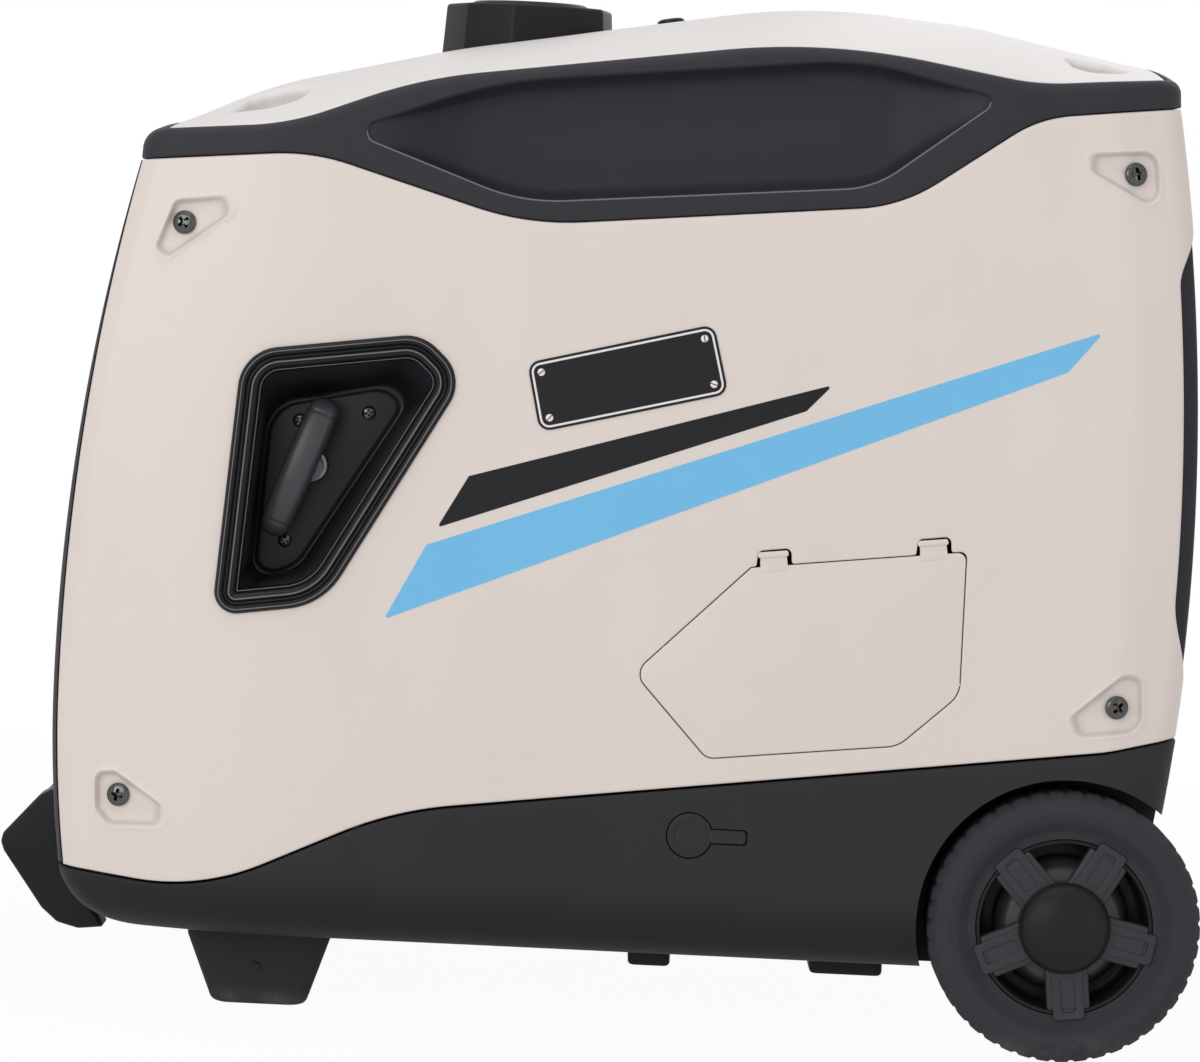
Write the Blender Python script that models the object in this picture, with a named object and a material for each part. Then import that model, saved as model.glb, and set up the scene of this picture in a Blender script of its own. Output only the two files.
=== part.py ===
"""Wheeled inverter generator, built as separate solids.

Metres, +Z up. The starter side faces -Y, the control panel faces -X and the wheels are at +X.
The near side is the one at -Y, and side numbers are -1 for near and +1 for far.
"""

import math

import bmesh
import bpy
from mathutils import Matrix, Vector

for leftover in list(bpy.data.objects):
    bpy.data.objects.remove(leftover, do_unlink=True)

# Fits
GAP = 0.0003  # between pieces that touch
SEAM = 0.0006  # visible joint between two mouldings
WALL = 0.003  # moulded housing wall
RUN = 0.0005  # play around a piece that moves

# Housing envelope
HALF_WIDTH = 0.208
FRONT_X = -0.283  # foremost point of the front face, at FRONT_Z
FRONT_Z = 0.165
FRONT_LEAN = 0.465  # above FRONT_Z the face curves back by this times height squared
FRONT_TUCK = 0.80  # the same below FRONT_Z
REAR_X = 0.303  # rearmost point of the rear face, at REAR_Z
REAR_Z = 0.275
REAR_LEAN = 0.41
REAR_TUCK = 0.48
CORNER_RADIUS = 0.012  # upright corners, seen from above
SIDE_CUT = (-HALF_WIDTH - 0.022, -HALF_WIDTH + 0.018)  # reach of cutters through the near side
EDGE_BACK = 0.0035  # side panels stop this far short of the front face at FRONT_Z
EDGE_LEAN = 0.43  # their front edge leans less than the face, so the strip beside it narrows upwards
EDGE_REAR = 0.0005  # side panels stop this far short of the rear end
REAR_SUNK = 0.0015  # the rear panel lies this far in from it, and shows only in the scallops
FRONT_ROLL_X = -0.165  # the sides begin to curve in towards the front here
FRONT_ROLL_IN = 0.024
REAR_CREASE = 0.036  # the sides turn in this far before the rear face
REAR_CREASE_SLOPE = 0.36
TUMBLE_Z = 0.250  # the sides begin to lean in above here
TUMBLE_RISE = 0.240
TUMBLE_IN = 0.008

# Joint lines of the housing, seen from the side as corners (x, z) and their rounding radii
BASE_SEAM = ((-0.290, 0.0765), (-0.200, 0.068), (-0.103, 0.1135), (0.260, 0.1605), (0.310, 0.171))
BASE_SEAM_RADII = (0, 0.127, 0.193, 0.200, 0)
BAND_LOW = ((-0.300, 0.4359), (-0.159, 0.4484), (-0.048, 0.4164), (0.1413, 0.4347), (0.2095, 0.4827),
            (0.310, 0.4943))
BAND_LOW_RADII = (0, 0.107, 0.147, 0.083, 0.063, 0)
BAND_TOP = ((-0.300, 0.4512), (-0.172, 0.4618), (-0.105, 0.488), (0.100, 0.517), (0.208, 0.4995),
            (0.310, 0.508))
BAND_TOP_RADII = (0, 0.137, 0.257, 0.493, 0.122, 0)
CROWN = ((-0.300, 0.4280), (-0.195, 0.4862), (-0.090, 0.511), (0.095, 0.543), (0.185, 0.5355),
         (0.310, 0.5093))
CROWN_RADII = (0, 0.200, 0.620, 0.625, 0.130, 0)
HOLD_LOW = ((-0.131, 0.4558), (-0.0514, 0.4275), (0.1266, 0.4433), (0.1835, 0.4867))
HOLD_LOW_RADII = (0, 0.100, 0.052, 0)
HOLD_TOP = ((-0.131, 0.4628), (-0.068, 0.487), (0.118, 0.507), (0.1835, 0.4917))
HOLD_TOP_RADII = (0, 0.229, 0.147, 0)
HOLD_DEPTH = 0.026
HOLD_RAMP = 0.030  # length over which the handhold deepens from each tip
BAND_ROUND = 0.007  # rounded upper edge of the top frame
SCALLOP_IN = 0.010  # the side panel's rear edge is cut back by this
SCALLOP_Z = (0.195, 0.240, 0.400, 0.430)  # start, full, full, end

# Base tray
BASE_BOTTOM = 0.0422
BASE_ROLL = 0.034
PAD_SPANS = ((0.021, 0.043), (0.116, 0.154))  # moulded pads under the tray, along x
PAD_DROP = 0.0092
PAD_Y = (HALF_WIDTH - 0.080, HALF_WIDTH - 0.048)

# Wheels
WHEEL_X = 0.243
TYRE_RADIUS = 0.070
TYRE_BORE = 0.0455
TYRE_FACES = (HALF_WIDTH - 0.041, HALF_WIDTH + 0.005)  # distance of its two faces from the middle
LUGS = 24
LUG_DEPTH = 0.0015
ARCH_CLEARANCE = 0.006
WELL_FACE = HALF_WIDTH - 0.050  # inner wall of the wheel well
HUB_FACE = HALF_WIDTH  # outer face of the spokes
RIM = 0.002
BOWL_DEPTH = 0.026
DRUM_RADIUS = 0.034
SPOKES = 5
SPOKE_WIDTH = 0.022
SPOKE_THICK = 0.0065
SPOKE_LEAN = math.radians(6)
TOE_WIDTH = 0.016  # each spoke ends in a narrower toe over the edge of the tyre
TOE_REACH = 0.0475
TOE_THICK = 0.0012
AXLE_RADIUS = 0.006
CAP_DOME_RADIUS = 0.0235
CAP_DOME_FACE = HUB_FACE + 0.012

# Feet
FOOT_BOTTOM = (-0.197, -0.148)
FOOT_TOP = (-0.211, -0.136)
FOOT_Y = (HALF_WIDTH - 0.104, HALF_WIDTH - 0.062)
FOOT_TAPER = 0.004

# Starter recess in the near panel, corners (x, z) and radii
RECESS = ((-0.190, 0.3453), (-0.099, 0.358), (-0.076, 0.337), (-0.1436, 0.2178), (-0.200, 0.2095))
RECESS_RADII = (0.016, 0.014, 0.014, 0.024, 0.016)
RECESS_FLOOR_Y = 0.051 - HALF_WIDTH
ROPE_X = -0.155
ROPE_Z = 0.286
ROPE_RADIUS = 0.0022
PULL_LENGTH = 0.074
PULL_THICK = 0.0150
PULL_TILT = math.radians(17.5)
PULL_FACE_Y = 0.019 - HALF_WIDTH

# Service door in the near panel, corners (x, z) and radii
DOOR = ((0.074, 0.247), (0.183, 0.260), (0.183, 0.187), (0.153, 0.1595), (0.056, 0.1485), (0.017, 0.1905))
DOOR_RADII = (0.002, 0.004, 0.014, 0.016, 0.008, 0.008)
DOOR_TABS = (0.0855, 0.1665)
TAB_WIDTH = 0.017
TAB_RISE = 0.008

# Panel screws: seat corners (x, z), and the screw's own place last
SEATS = {
    "front_top": (((-0.2335, 0.420), (-0.1885, 0.4254), (-0.237, 0.3864)), (-0.223, 0.409)),
    "rear_top": (((0.234, 0.466), (0.2735, 0.4685), (0.2735, 0.438), (0.235, 0.455)), (0.260, 0.456)),
    "front_low": (((-0.2585, 0.1275), (-0.244, 0.128), (-0.2195, 0.110), (-0.223, 0.0985), (-0.247, 0.098),
                   (-0.2585, 0.106)), (-0.245, 0.114)),
    "rear_low": (((0.2385, 0.172), (0.267, 0.2025), (0.2795, 0.197), (0.274, 0.171), (0.245, 0.1685)),
                 (0.264, 0.184)),
}
SEAT_DEPTH = 0.0045
SEAT_SLOPE = 0.0022  # the floor is this much smaller all round
SEAT_RADIUS = 0.0045
SCREW_HEAD_RADIUS = 0.006
SCREW_HEAD = 0.0028
SCREW_RADIUS = 0.0027
SCREW_LENGTH = 0.012

# Keyhole plug in the base
PLUG = (0.049, 0.1085)
PLUG_RADIUS = 0.0115
PLUG_TAB_X = 0.078
PLUG_TAB = 0.0035

# Pull handle
TUBE_RADIUS = 0.008
TUBE_BORE = 0.0066
TUBE_Y = 0.095
TUBE_Z = 0.060
TUBE_ENDS = (-0.287, 0.100)
GUIDE_ENDS = (-0.232, -0.162)
LEG_WIDTH = 0.026
LEG = ((-0.287, 0.106), (-0.296, 0.101), (-0.3145, 0.080), (-0.3155, 0.0755), (-0.3138, 0.0705),
       (-0.2925, 0.0408), (-0.284, 0.0335), (-0.2725, 0.0305), (-0.259, 0.032), (-0.262, 0.038),
       (-0.270, 0.047), (-0.278, 0.060), (-0.2825, 0.080), (-0.284, 0.104))
CROSSBAR = ((-0.302, 0.0925), (-0.3145, 0.080), (-0.3155, 0.0755), (-0.3138, 0.0705), (-0.3015, 0.0535),
            (-0.2955, 0.060), (-0.2965, 0.089))

# Fuel system
CAP_X = -0.056
CAP_RADIUS = 0.0455
CAP_DRAFT = 0.002
CAP_PROUD = 0.01862  # its top stands this far above the cover
CAP_HEIGHT = 0.0305
CAP_HOLLOW = 0.012  # depth of the cap's inside, which rests on the filler neck
CAP_FLUTES = 10
KNOB_RADIUS = 0.030
KNOB_RISE = 0.0022
WELL_RADIUS = 0.053
WELL_GAP = 0.003  # under the cap
NECK_RADIUS = 0.030
GAUGE_X = 0.022
GAUGE_RADIUS = 0.0075
GAUGE_STEM = 0.005
TANK_X = (-0.170, 0.110)
TANK_HALF_WIDTH = 0.148
TANK_Z = (0.380, 0.462)

# Engine
CRANK_Z = 0.231
CRANK_RADIUS = 0.0157
CASE_X = (-0.040, 0.090)
CASE_HALF_WIDTH = 0.085
CYLINDER_X = 0.025
CYLINDER_Z = (0.2903, 0.345)
CYLINDER_RADIUS = 0.046
HEAD_TOP = 0.372
ROTOR_X = (-0.110, -0.054)
ROTOR_RADIUS = 0.088
SHROUD_X = -0.174
SHROUD_RADIUS = ROTOR_RADIUS + 0.010
PULLEY_RADIUS = ROPE_Z - CRANK_Z - ROPE_RADIUS - GAP
TAILPIPE = (0.050, 0.240)
TAILPIPE_RADIUS = 0.018

# Control fascia, in its own plane: u along Y, v up the slope
FASCIA_Z = 0.335
FASCIA_HALF = (0.150, 0.092)
FASCIA_FACE = -0.012  # controls sit on this plane, below the housing face
FASCIA_BACK = -0.020
FASCIA_RIM = 0.006
FASCIA_LIP = 0.005  # the fascia reaches this far behind the front panel

# Finishes: sRGB colour, roughness, metallic
CREAM = ((0.85, 0.81, 0.79), 0.42, 0.0)
CHARCOAL = ((0.23, 0.23, 0.245), 0.55, 0.0)
DARK = ((0.20, 0.20, 0.205), 0.60, 0.0)
BLACK = ((0.13, 0.13, 0.14), 0.50, 0.0)
RUBBER = ((0.21, 0.21, 0.225), 0.85, 0.0)
GREY = ((0.28, 0.28, 0.30), 0.45, 0.0)
STEEL = ((0.62, 0.62, 0.63), 0.30, 1.0)
ALLOY = ((0.70, 0.70, 0.70), 0.45, 1.0)
COPPER = ((0.60, 0.36, 0.22), 0.40, 1.0)
SCREEN = ((0.10, 0.14, 0.15), 0.15, 0.0)
RED = ((0.62, 0.10, 0.09), 0.45, 0.0)
ROPE = ((0.55, 0.54, 0.50), 0.80, 0.0)


def linear(channel):
    """Scene-linear value of an sRGB channel."""
    return channel / 12.92 if channel <= 0.04045 else ((channel + 0.055) / 1.055) ** 2.4


def dress(obj, finish):
    """Gives the object a material of its own."""
    colour, roughness, metallic = finish
    material = bpy.data.materials.new(obj.name)
    material.use_nodes = True
    shader = material.node_tree.nodes["Principled BSDF"]
    shader.inputs["Base Color"].default_value = (*[linear(c) for c in colour], 1.0)
    shader.inputs["Roughness"].default_value = roughness
    shader.inputs["Metallic"].default_value = metallic
    obj.data.materials.append(material)


def solid(name, points, faces, finish=None):
    """A closed mesh object with outward faces. Without a finish it is a hidden cutter."""
    mesh = bmesh.new()
    corners = [mesh.verts.new(point) for point in points]
    for face in faces:
        mesh.faces.new([corners[i] for i in face])
    bmesh.ops.recalc_face_normals(mesh, faces=mesh.faces)
    data = bpy.data.meshes.new(name)
    mesh.to_mesh(data)
    mesh.free()
    obj = bpy.data.objects.new(name, data)
    bpy.context.scene.collection.objects.link(obj)
    if finish:
        dress(obj, finish)
    else:
        obj.hide_render = True
        obj.display_type = "WIRE"
    return obj


def boolean(target, operation, other):
    modifier = target.modifiers.new(other.name, "BOOLEAN")
    modifier.operation = operation
    modifier.solver = "EXACT"
    modifier.object = other


def subtract(target, *cutters):
    for cutter in cutters:
        boolean(target, "DIFFERENCE", cutter)


def join(target, *additions):
    for addition in additions:
        boolean(target, "UNION", addition)


def merge_flat(obj):
    """Joins neighbouring faces that lie in one plane, after all cuts."""
    modifier = obj.modifiers.new("merge_flat", "DECIMATE")
    modifier.decimate_type = "DISSOLVE"
    modifier.angle_limit = math.radians(0.15)


def pivot(obj, point):
    """Moves the object's origin to its joint, leaving its shape where it is."""
    obj.data.transform(Matrix.Translation(-Vector(point)))
    obj.location = point


def lofted(loops, ring=False):
    """Points and faces of a skin over loops of equal length, capped at both ends or closed to a ring."""
    size = len(loops[0])
    points = [point for loop in loops for point in loop]
    faces = []
    for k in range(len(loops) if ring else len(loops) - 1):
        here = k * size
        there = (k + 1) % len(loops) * size
        for i in range(size):
            j = (i + 1) % size
            faces.append((here + i, here + j, there + j, there + i))
    if not ring:
        faces.append(tuple(range(size)))
        faces.append(tuple(range((len(loops) - 1) * size, len(loops) * size)))
    return points, faces


def loft(name, loops, finish=None, ring=False):
    return solid(name, *lofted(loops, ring), finish)


def gathered(name, parts, finish=None):
    """One object from several separate (points, faces) shapes, as for a bank of cutters."""
    points = []
    faces = []
    for part_points, part_faces in parts:
        start = len(points)
        points.extend(part_points)
        faces.extend(tuple(start + i for i in face) for face in part_faces)
    return solid(name, points, faces, finish)


def shell(name, outer, inner, finish=None):
    """A curved plate between two equal grids of points."""
    rows = len(outer)
    columns = len(outer[0])
    half = rows * columns
    points = [p for row in outer for p in row] + [p for row in inner for p in row]
    faces = []
    for r in range(rows - 1):
        for c in range(columns - 1):
            quad = (r * columns + c, r * columns + c + 1, (r + 1) * columns + c + 1, (r + 1) * columns + c)
            faces.append(quad)
            faces.append(tuple(half + i for i in reversed(quad)))
    rim = [c for c in range(columns)]
    rim += [r * columns + columns - 1 for r in range(1, rows)]
    rim += [(rows - 1) * columns + c for c in range(columns - 2, -1, -1)]
    rim += [r * columns for r in range(rows - 2, 0, -1)]
    for a, b in zip(rim, rim[1:] + rim[:1]):
        faces.append((b, a, half + a, half + b))
    return solid(name, points, faces, finish)


def aim(centre, direction):
    """A frame at centre whose Z points along direction."""
    turn = Vector(direction).to_track_quat("Z", "Y").to_matrix().to_4x4()
    return Matrix.Translation(Vector(centre)) @ turn


def turned_shape(profile, frame, steps, radius_at=None):
    """Revolves (radius, height) pairs about the frame's Z. A profile off the axis closes on itself."""
    points = []
    rings = []
    for index, (radius, height) in enumerate(profile):
        ring = []
        for step in range(steps if radius > 0 else 1):
            angle = math.tau * step / steps
            r = radius_at(index, step, radius) if radius_at else radius
            ring.append(len(points))
            points.append(frame @ Vector((r * math.cos(angle), r * math.sin(angle), height)))
        rings.append(ring)
    if profile[0][0] > 0:
        rings.append(rings[0])
    faces = []
    for low, high in zip(rings, rings[1:]):
        for i in range(steps):
            j = (i + 1) % steps
            quad = (low[i % len(low)], low[j % len(low)], high[j % len(high)], high[i % len(high)])
            corners = tuple(dict.fromkeys(quad))
            if len(corners) > 2:
                faces.append(corners)
    return points, faces


def turned(name, profile, frame, steps, finish=None, radius_at=None):
    return solid(name, *turned_shape(profile, frame, steps, radius_at), finish)


def rod_shape(start, end, radius, steps=16):
    span = Vector(end) - Vector(start)
    profile = ((0, 0), (radius, 0), (radius, span.length), (0, span.length))
    return turned_shape(profile, aim(start, span), steps)


def rod(name, start, end, radius, finish=None, steps=16):
    return solid(name, *rod_shape(start, end, radius, steps), finish)


def block_shape(low, high):
    (x0, y0, z0), (x1, y1, z1) = low, high
    loops = [[(x0, y0, z), (x1, y0, z), (x1, y1, z), (x0, y1, z)] for z in (z0, z1)]
    return lofted(loops)


def block(name, low, high, finish=None):
    return solid(name, *block_shape(low, high), finish)


def rounded(corners, radii, steps=4, closed=True):
    """Corners replaced by arcs of the given radii, as far as the edges leave room."""
    outline = []
    for i, radius in enumerate(radii):
        here = Vector(corners[i])
        if radius <= 0 or (not closed and i in (0, len(corners) - 1)):
            outline.append(tuple(here))
            continue
        back = Vector(corners[i - 1]) - here
        ahead = Vector(corners[(i + 1) % len(corners)]) - here
        turn = math.pi - back.angle(ahead)
        reach = min(radius * math.tan(turn / 2), 0.49 * back.length, 0.49 * ahead.length)
        start = here + back.normalized() * reach
        end = here + ahead.normalized() * reach
        weight = math.cos(turn / 2)
        for k in range(steps + 1):
            t = k / steps
            a, b, c = (1 - t) ** 2, 2 * t * (1 - t) * weight, t * t
            outline.append(tuple((start * a + here * b + end * c) / (a + b + c)))
    return outline


def inset(corners, distance):
    """The corners of a polygon whose edges all move inwards by distance, or outwards if it is negative."""
    area = sum(a[0] * b[1] - b[0] * a[1] for a, b in zip(corners, corners[1:] + corners[:1]))
    sign = 1 if area > 0 else -1
    moved = []
    for i, here in enumerate(corners):
        before = corners[i - 1]
        after = corners[(i + 1) % len(corners)]
        edges = []
        for start, end in ((before, here), (here, after)):
            along = (Vector(end) - Vector(start)).normalized()
            inward = Vector((-along.y, along.x)) * sign
            edges.append((Vector(start) + inward * distance, along, inward))
        (p, d, _), (q, _, n) = edges
        moved.append(tuple(p + d * ((q - p).dot(n) / d.dot(n))))
    return moved


def outline_of(corners, radii, distance=0.0, steps=4):
    """A rounded outline moved inwards by distance, with its radii changed to match."""
    changed = [max(radius - distance, 0.001) for radius in radii]
    return rounded(inset(list(corners), distance), changed, steps)


def height_on(curve, x):
    """Height of a side-view line at x."""
    if x <= curve[0][0]:
        return curve[0][1]
    for (x0, z0), (x1, z1) in zip(curve, curve[1:]):
        if x <= x1:
            return z0 + (z1 - z0) * (x - x0) / (x1 - x0)
    return curve[-1][1]


def smooth(t):
    t = min(max(t, 0.0), 1.0)
    return t * t * (3 - 2 * t)


BASE_LINE = rounded(BASE_SEAM, BASE_SEAM_RADII, 5, closed=False)
LOW_LINE = rounded(BAND_LOW, BAND_LOW_RADII, 4, closed=False)
TOP_LINE = rounded(BAND_TOP, BAND_TOP_RADII, 4, closed=False)
CROWN_LINE = rounded(CROWN, CROWN_RADII, 4, closed=False)
HOLD_LOW_LINE = rounded(HOLD_LOW, HOLD_LOW_RADII, 4, closed=False)
HOLD_TOP_LINE = rounded(HOLD_TOP, HOLD_TOP_RADII, 4, closed=False)
CAP_TOP = height_on(CROWN_LINE, CAP_X) + CAP_PROUD
CAP_BASE = CAP_TOP - CAP_HEIGHT
KNOB_TOP = CAP_TOP + KNOB_RISE
WELL_FLOOR = CAP_BASE - WELL_GAP


def front_x(z):
    return FRONT_X + (FRONT_LEAN if z > FRONT_Z else FRONT_TUCK) * (z - FRONT_Z) ** 2


def panel_front(z):
    """Front edge of the side panels."""
    return FRONT_X + EDGE_BACK + (EDGE_LEAN if z > FRONT_Z else FRONT_TUCK) * (z - FRONT_Z) ** 2


def rear_x(z):
    return REAR_X - (REAR_LEAN if z > REAR_Z else REAR_TUCK) * (z - REAR_Z) ** 2


def crease_x(z):
    return rear_x(z) - REAR_CREASE


def half_width(x, z):
    """Distance of the housing's side skin from the middle."""
    drawn_in = 0.0
    if x < FRONT_ROLL_X:
        drawn_in += FRONT_ROLL_IN * ((FRONT_ROLL_X - x) / (FRONT_ROLL_X - FRONT_X)) ** 2
    if x > crease_x(z):
        drawn_in += REAR_CREASE_SLOPE * (x - crease_x(z))
    if z > TUMBLE_Z:
        drawn_in += TUMBLE_IN * ((z - TUMBLE_Z) / TUMBLE_RISE) ** 2
    for past in (front_x(z) + CORNER_RADIUS - x, x - rear_x(z) + CORNER_RADIUS):
        past = min(max(past, 0.0), CORNER_RADIUS)
        drawn_in += CORNER_RADIUS - math.sqrt(CORNER_RADIUS**2 - past**2)
    return HALF_WIDTH - drawn_in


def corner_steps(edge, sign):
    """Places along x for the arc of an upright corner."""
    return [edge + sign * CORNER_RADIUS * (1 - math.cos(math.radians(a))) for a in (0, 36, 70)]


def plan(z, drawn_in):
    """The housing's outline at one height, seen from above."""
    first = front_x(z)
    last = rear_x(z)
    places = corner_steps(first, 1)
    places += [-0.252, -0.225, -0.195, FRONT_ROLL_X, 0.05, crease_x(z)]
    places += corner_steps(last, -1)[::-1]
    length = last - first
    near = []
    for x in places:
        shrunk = first + drawn_in + (x - first) * (length - 2 * drawn_in) / length
        near.append((shrunk, drawn_in - half_width(x, z)))
    return near + [(x, -y) for x, y in reversed(near)]


def tray_loops(thickness, top):
    """Outlines of the tray from its flat bottom up round the rolled edge."""
    loops = []
    for angle in (0, 30, 60, 90):
        a = math.radians(angle)
        roll = BASE_ROLL - thickness
        z = BASE_BOTTOM + thickness + roll * (1 - math.cos(a))
        drawn_in = thickness + roll * (1 - math.sin(a))
        loops.append([(x, y, z) for x, y in plan(z, drawn_in)])
    for z in (0.120, top):
        loops.append([(x, y, z) for x, y in plan(z, thickness)])
    return loops


def above_seam():
    """Everything above the base's joint line."""
    outline = list(BASE_LINE)
    outline += [(0.40, BASE_LINE[-1][1]), (0.40, 0.30), (-0.40, 0.30), (-0.40, BASE_LINE[0][1])]
    return loft("cut_base_top", [[(x, y, z) for x, z in outline] for y in (-0.3, 0.3)])


def wheel_space(name, side, radius, face):
    arch = rod_shape((WHEEL_X, side * face, TYRE_RADIUS), (WHEEL_X, side * 0.3, TYRE_RADIUS), radius, 32)
    return solid(name, *arch)


def base_tray():
    tray = loft("base_tray", tray_loops(0.0, 0.185), DARK)
    inside = loft("cut_tray_inside", tray_loops(WALL, 0.190))
    arch = TYRE_RADIUS + ARCH_CLEARANCE
    for side in (-1, 1):
        subtract(inside, wheel_space(f"keep_well_{side}", side, arch + WALL, WELL_FACE - WALL))
    subtract(tray, inside)
    for side in (-1, 1):
        subtract(tray, wheel_space(f"cut_well_{side}", side, arch, WELL_FACE))
    subtract(tray, above_seam())
    axle_ends = [(WHEEL_X, y, TYRE_RADIUS) for y in (-HALF_WIDTH, HALF_WIDTH)]
    holes = [rod_shape(*axle_ends, AXLE_RADIUS + GAP)]
    for side in (-1, 1):
        y = side * TUBE_Y
        holes.append(rod_shape((-0.32, y, TUBE_Z), (-0.24, y, TUBE_Z), TUBE_RADIUS + RUN))
    subtract(tray, gathered("cut_tray_holes", holes))
    subtract(tray, keyhole("cut_plug_hole", RUN, *SIDE_CUT))
    pads = []
    for side in (-1, 1):
        for start, end in PAD_SPANS:
            y0, y1 = sorted(side * y for y in PAD_Y)
            low = (start, y0, BASE_BOTTOM - PAD_DROP)
            pads.append(block_shape(low, (end, y1, BASE_BOTTOM + WALL / 2)))
    join(tray, gathered("add_tray_pads", pads))
    merge_flat(tray)


def keyhole(name, play, y0, y1, finish=None):
    """A disc with a tab on its rear side, standing along y."""
    x, z = PLUG
    radius = PLUG_RADIUS + play
    tab = PLUG_TAB + play
    start = math.asin(tab / radius)
    outline = []
    for k in range(13):
        angle = start + (math.tau - 2 * start) * k / 12
        outline.append((x + radius * math.cos(angle), z + radius * math.sin(angle)))
    outline += [(PLUG_TAB_X + play, z - tab), (PLUG_TAB_X + play, z + tab)]
    return loft(name, [[(px, y, pz) for px, pz in outline] for y in (y0, y1)], finish)


def base_plug():
    plug = keyhole("base_plug", 0.0, -HALF_WIDTH - 0.0004, -HALF_WIDTH + WALL, RUBBER)
    pivot(plug, (PLUG[0], -HALF_WIDTH, PLUG[1]))


def scallop(z):
    start, full, full_end, end = SCALLOP_Z
    return SCALLOP_IN * smooth((z - start) / (full - start)) * smooth((end - z) / (end - full_end))


PANEL_COLUMNS = (0, 0.003, 0.008, 0.018, 0.04, 0.09, 0.135, 0.175, 0.20, 0.225, 0.26, 0.305, 0.345, 0.38,
                 0.41, 0.45, 0.68, 0.71, 0.74, 0.77, 0.818, 0.842, 0.87, 0.944, 0.966, 0.980, 0.988, 0.994,
                 0.998, 1)
PANEL_ROWS = (0, 0.08, 0.155, 0.23, 0.48, 0.715, 0.76, 0.81, 1)


def panel_point(s, t):
    """Place (x, z) on the side panel for fractions along its length and height."""
    z = 0.26
    for _ in range(12):
        front = panel_front(z)
        rear = rear_x(z) - EDGE_REAR - scallop(z)
        x = front + (rear - front) * s
        low = height_on(BASE_LINE, x) + SEAM
        high = height_on(LOW_LINE, x) - SEAM
        z = low + (high - low) * t
    return x, z


def skin(x, z, side, depth=0.0):
    return (x, side * (half_width(x, z) - depth), z)


def seat_outline(corners, distance):
    return outline_of(corners, [SEAT_RADIUS] * len(corners), distance, 2)


def skin_axis(x, z, side):
    """Outward direction of the side skin."""
    step = 0.0005
    slope_x = (half_width(x + step, z) - half_width(x - step, z)) / (2 * step)
    slope_z = (half_width(x, z + step) - half_width(x, z - step)) / (2 * step)
    return Vector((-slope_x, side, -slope_z)).normalized()


def screw_frame(place, side):
    """Frame of a panel screw: its Z leaves the floor of the seat."""
    x, z = place
    axis = skin_axis(x, z, side)
    floor = Vector(skin(x, z, side)) - axis * SEAT_DEPTH
    return aim(floor, axis)


def screw_seats(panel, side):
    """Dimples with a boss behind each, and the screws that sit in them."""
    label = "near" if side < 0 else "far"
    for name, (corners, place) in SEATS.items():
        boss_outline = inset(list(corners), -0.001)
        boss = [[skin(x, z, side, depth) for x, z in boss_outline] for depth in (0.0015, SEAT_DEPTH + 0.004)]
        join(panel, loft(f"add_boss_{label}_{name}", boss))
        floor = [skin(x, z, side, SEAT_DEPTH) for x, z in seat_outline(corners, SEAT_SLOPE)]
        mouth = [skin(x, z, side, -0.005) for x, z in seat_outline(corners, -SEAT_SLOPE)]
        subtract(panel, loft(f"cut_seat_{label}_{name}", [floor, mouth]))
        frame = screw_frame(place, side)
        r = SCREW_RADIUS + GAP
        hole = turned(f"cut_screw_{label}_{name}", ((0, -0.02), (r, -0.02), (r, 0.004), (0, 0.004)), frame, 8)
        subtract(panel, hole)
        turned(
            f"panel_screw_{label}_{name}",
            (
                (0, -SCREW_LENGTH),
                (SCREW_RADIUS, -SCREW_LENGTH),
                (SCREW_RADIUS, GAP),
                (SCREW_HEAD_RADIUS, GAP),
                (SCREW_HEAD_RADIUS, SCREW_HEAD * 0.5),
                (SCREW_HEAD_RADIUS * 0.8, SCREW_HEAD),
                (0, SCREW_HEAD),
            ),
            frame,
            8,
            STEEL,
        )


def side_panel(name, side):
    outer = []
    inner = []
    for t in PANEL_ROWS:
        places = [panel_point(s, t) for s in PANEL_COLUMNS]
        outer.append([skin(x, z, side) for x, z in places])
        inner.append([skin(x, z, side, WALL) for x, z in places])
    panel = shell(name, outer, inner, CREAM)
    screw_seats(panel, side)
    return panel


def starter_side_panel():
    panel = side_panel("starter_side_panel", -1)
    recess = outline_of(RECESS, RECESS_RADII, 0.0018, 3)
    subtract(panel, loft("cut_recess", [[(x, y, z) for x, z in recess] for y in SIDE_CUT]))
    subtract(panel, loft("cut_door", [[(x, y, z) for x, z in door_outline(RUN)] for y in SIDE_CUT]))
    tabs = [tab_shape(x, RUN, *SIDE_CUT) for x in DOOR_TABS]
    subtract(panel, gathered("cut_door_tabs", tabs))
    merge_flat(panel)


def far_side_panel():
    panel = side_panel("far_side_panel", 1)
    slots = []
    for k in range(9):
        x = -0.190 + 0.017 * k
        outline = ((x, 0.190), (x + 0.008, 0.190), (x + 0.026, 0.330), (x + 0.018, 0.330))
        slots.append(lofted([[(px, y, pz) for px, pz in outline] for y in (-SIDE_CUT[1], -SIDE_CUT[0])]))
    subtract(panel, gathered("cut_intake", slots))
    merge_flat(panel)


def door_outline(play):
    return outline_of(DOOR, DOOR_RADII, -play)


def tab_shape(x, play, y0, y1):
    """A snap tab that stands on the upper edge of the door."""
    edge = DOOR[0][1] + (DOOR[1][1] - DOOR[0][1]) * (x - DOOR[0][0]) / (DOOR[1][0] - DOOR[0][0])
    half = TAB_WIDTH / 2 + play
    low = (x - half, y0, edge - 0.004)
    return block_shape(low, (x + half, y1, edge + TAB_RISE + play))


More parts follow.
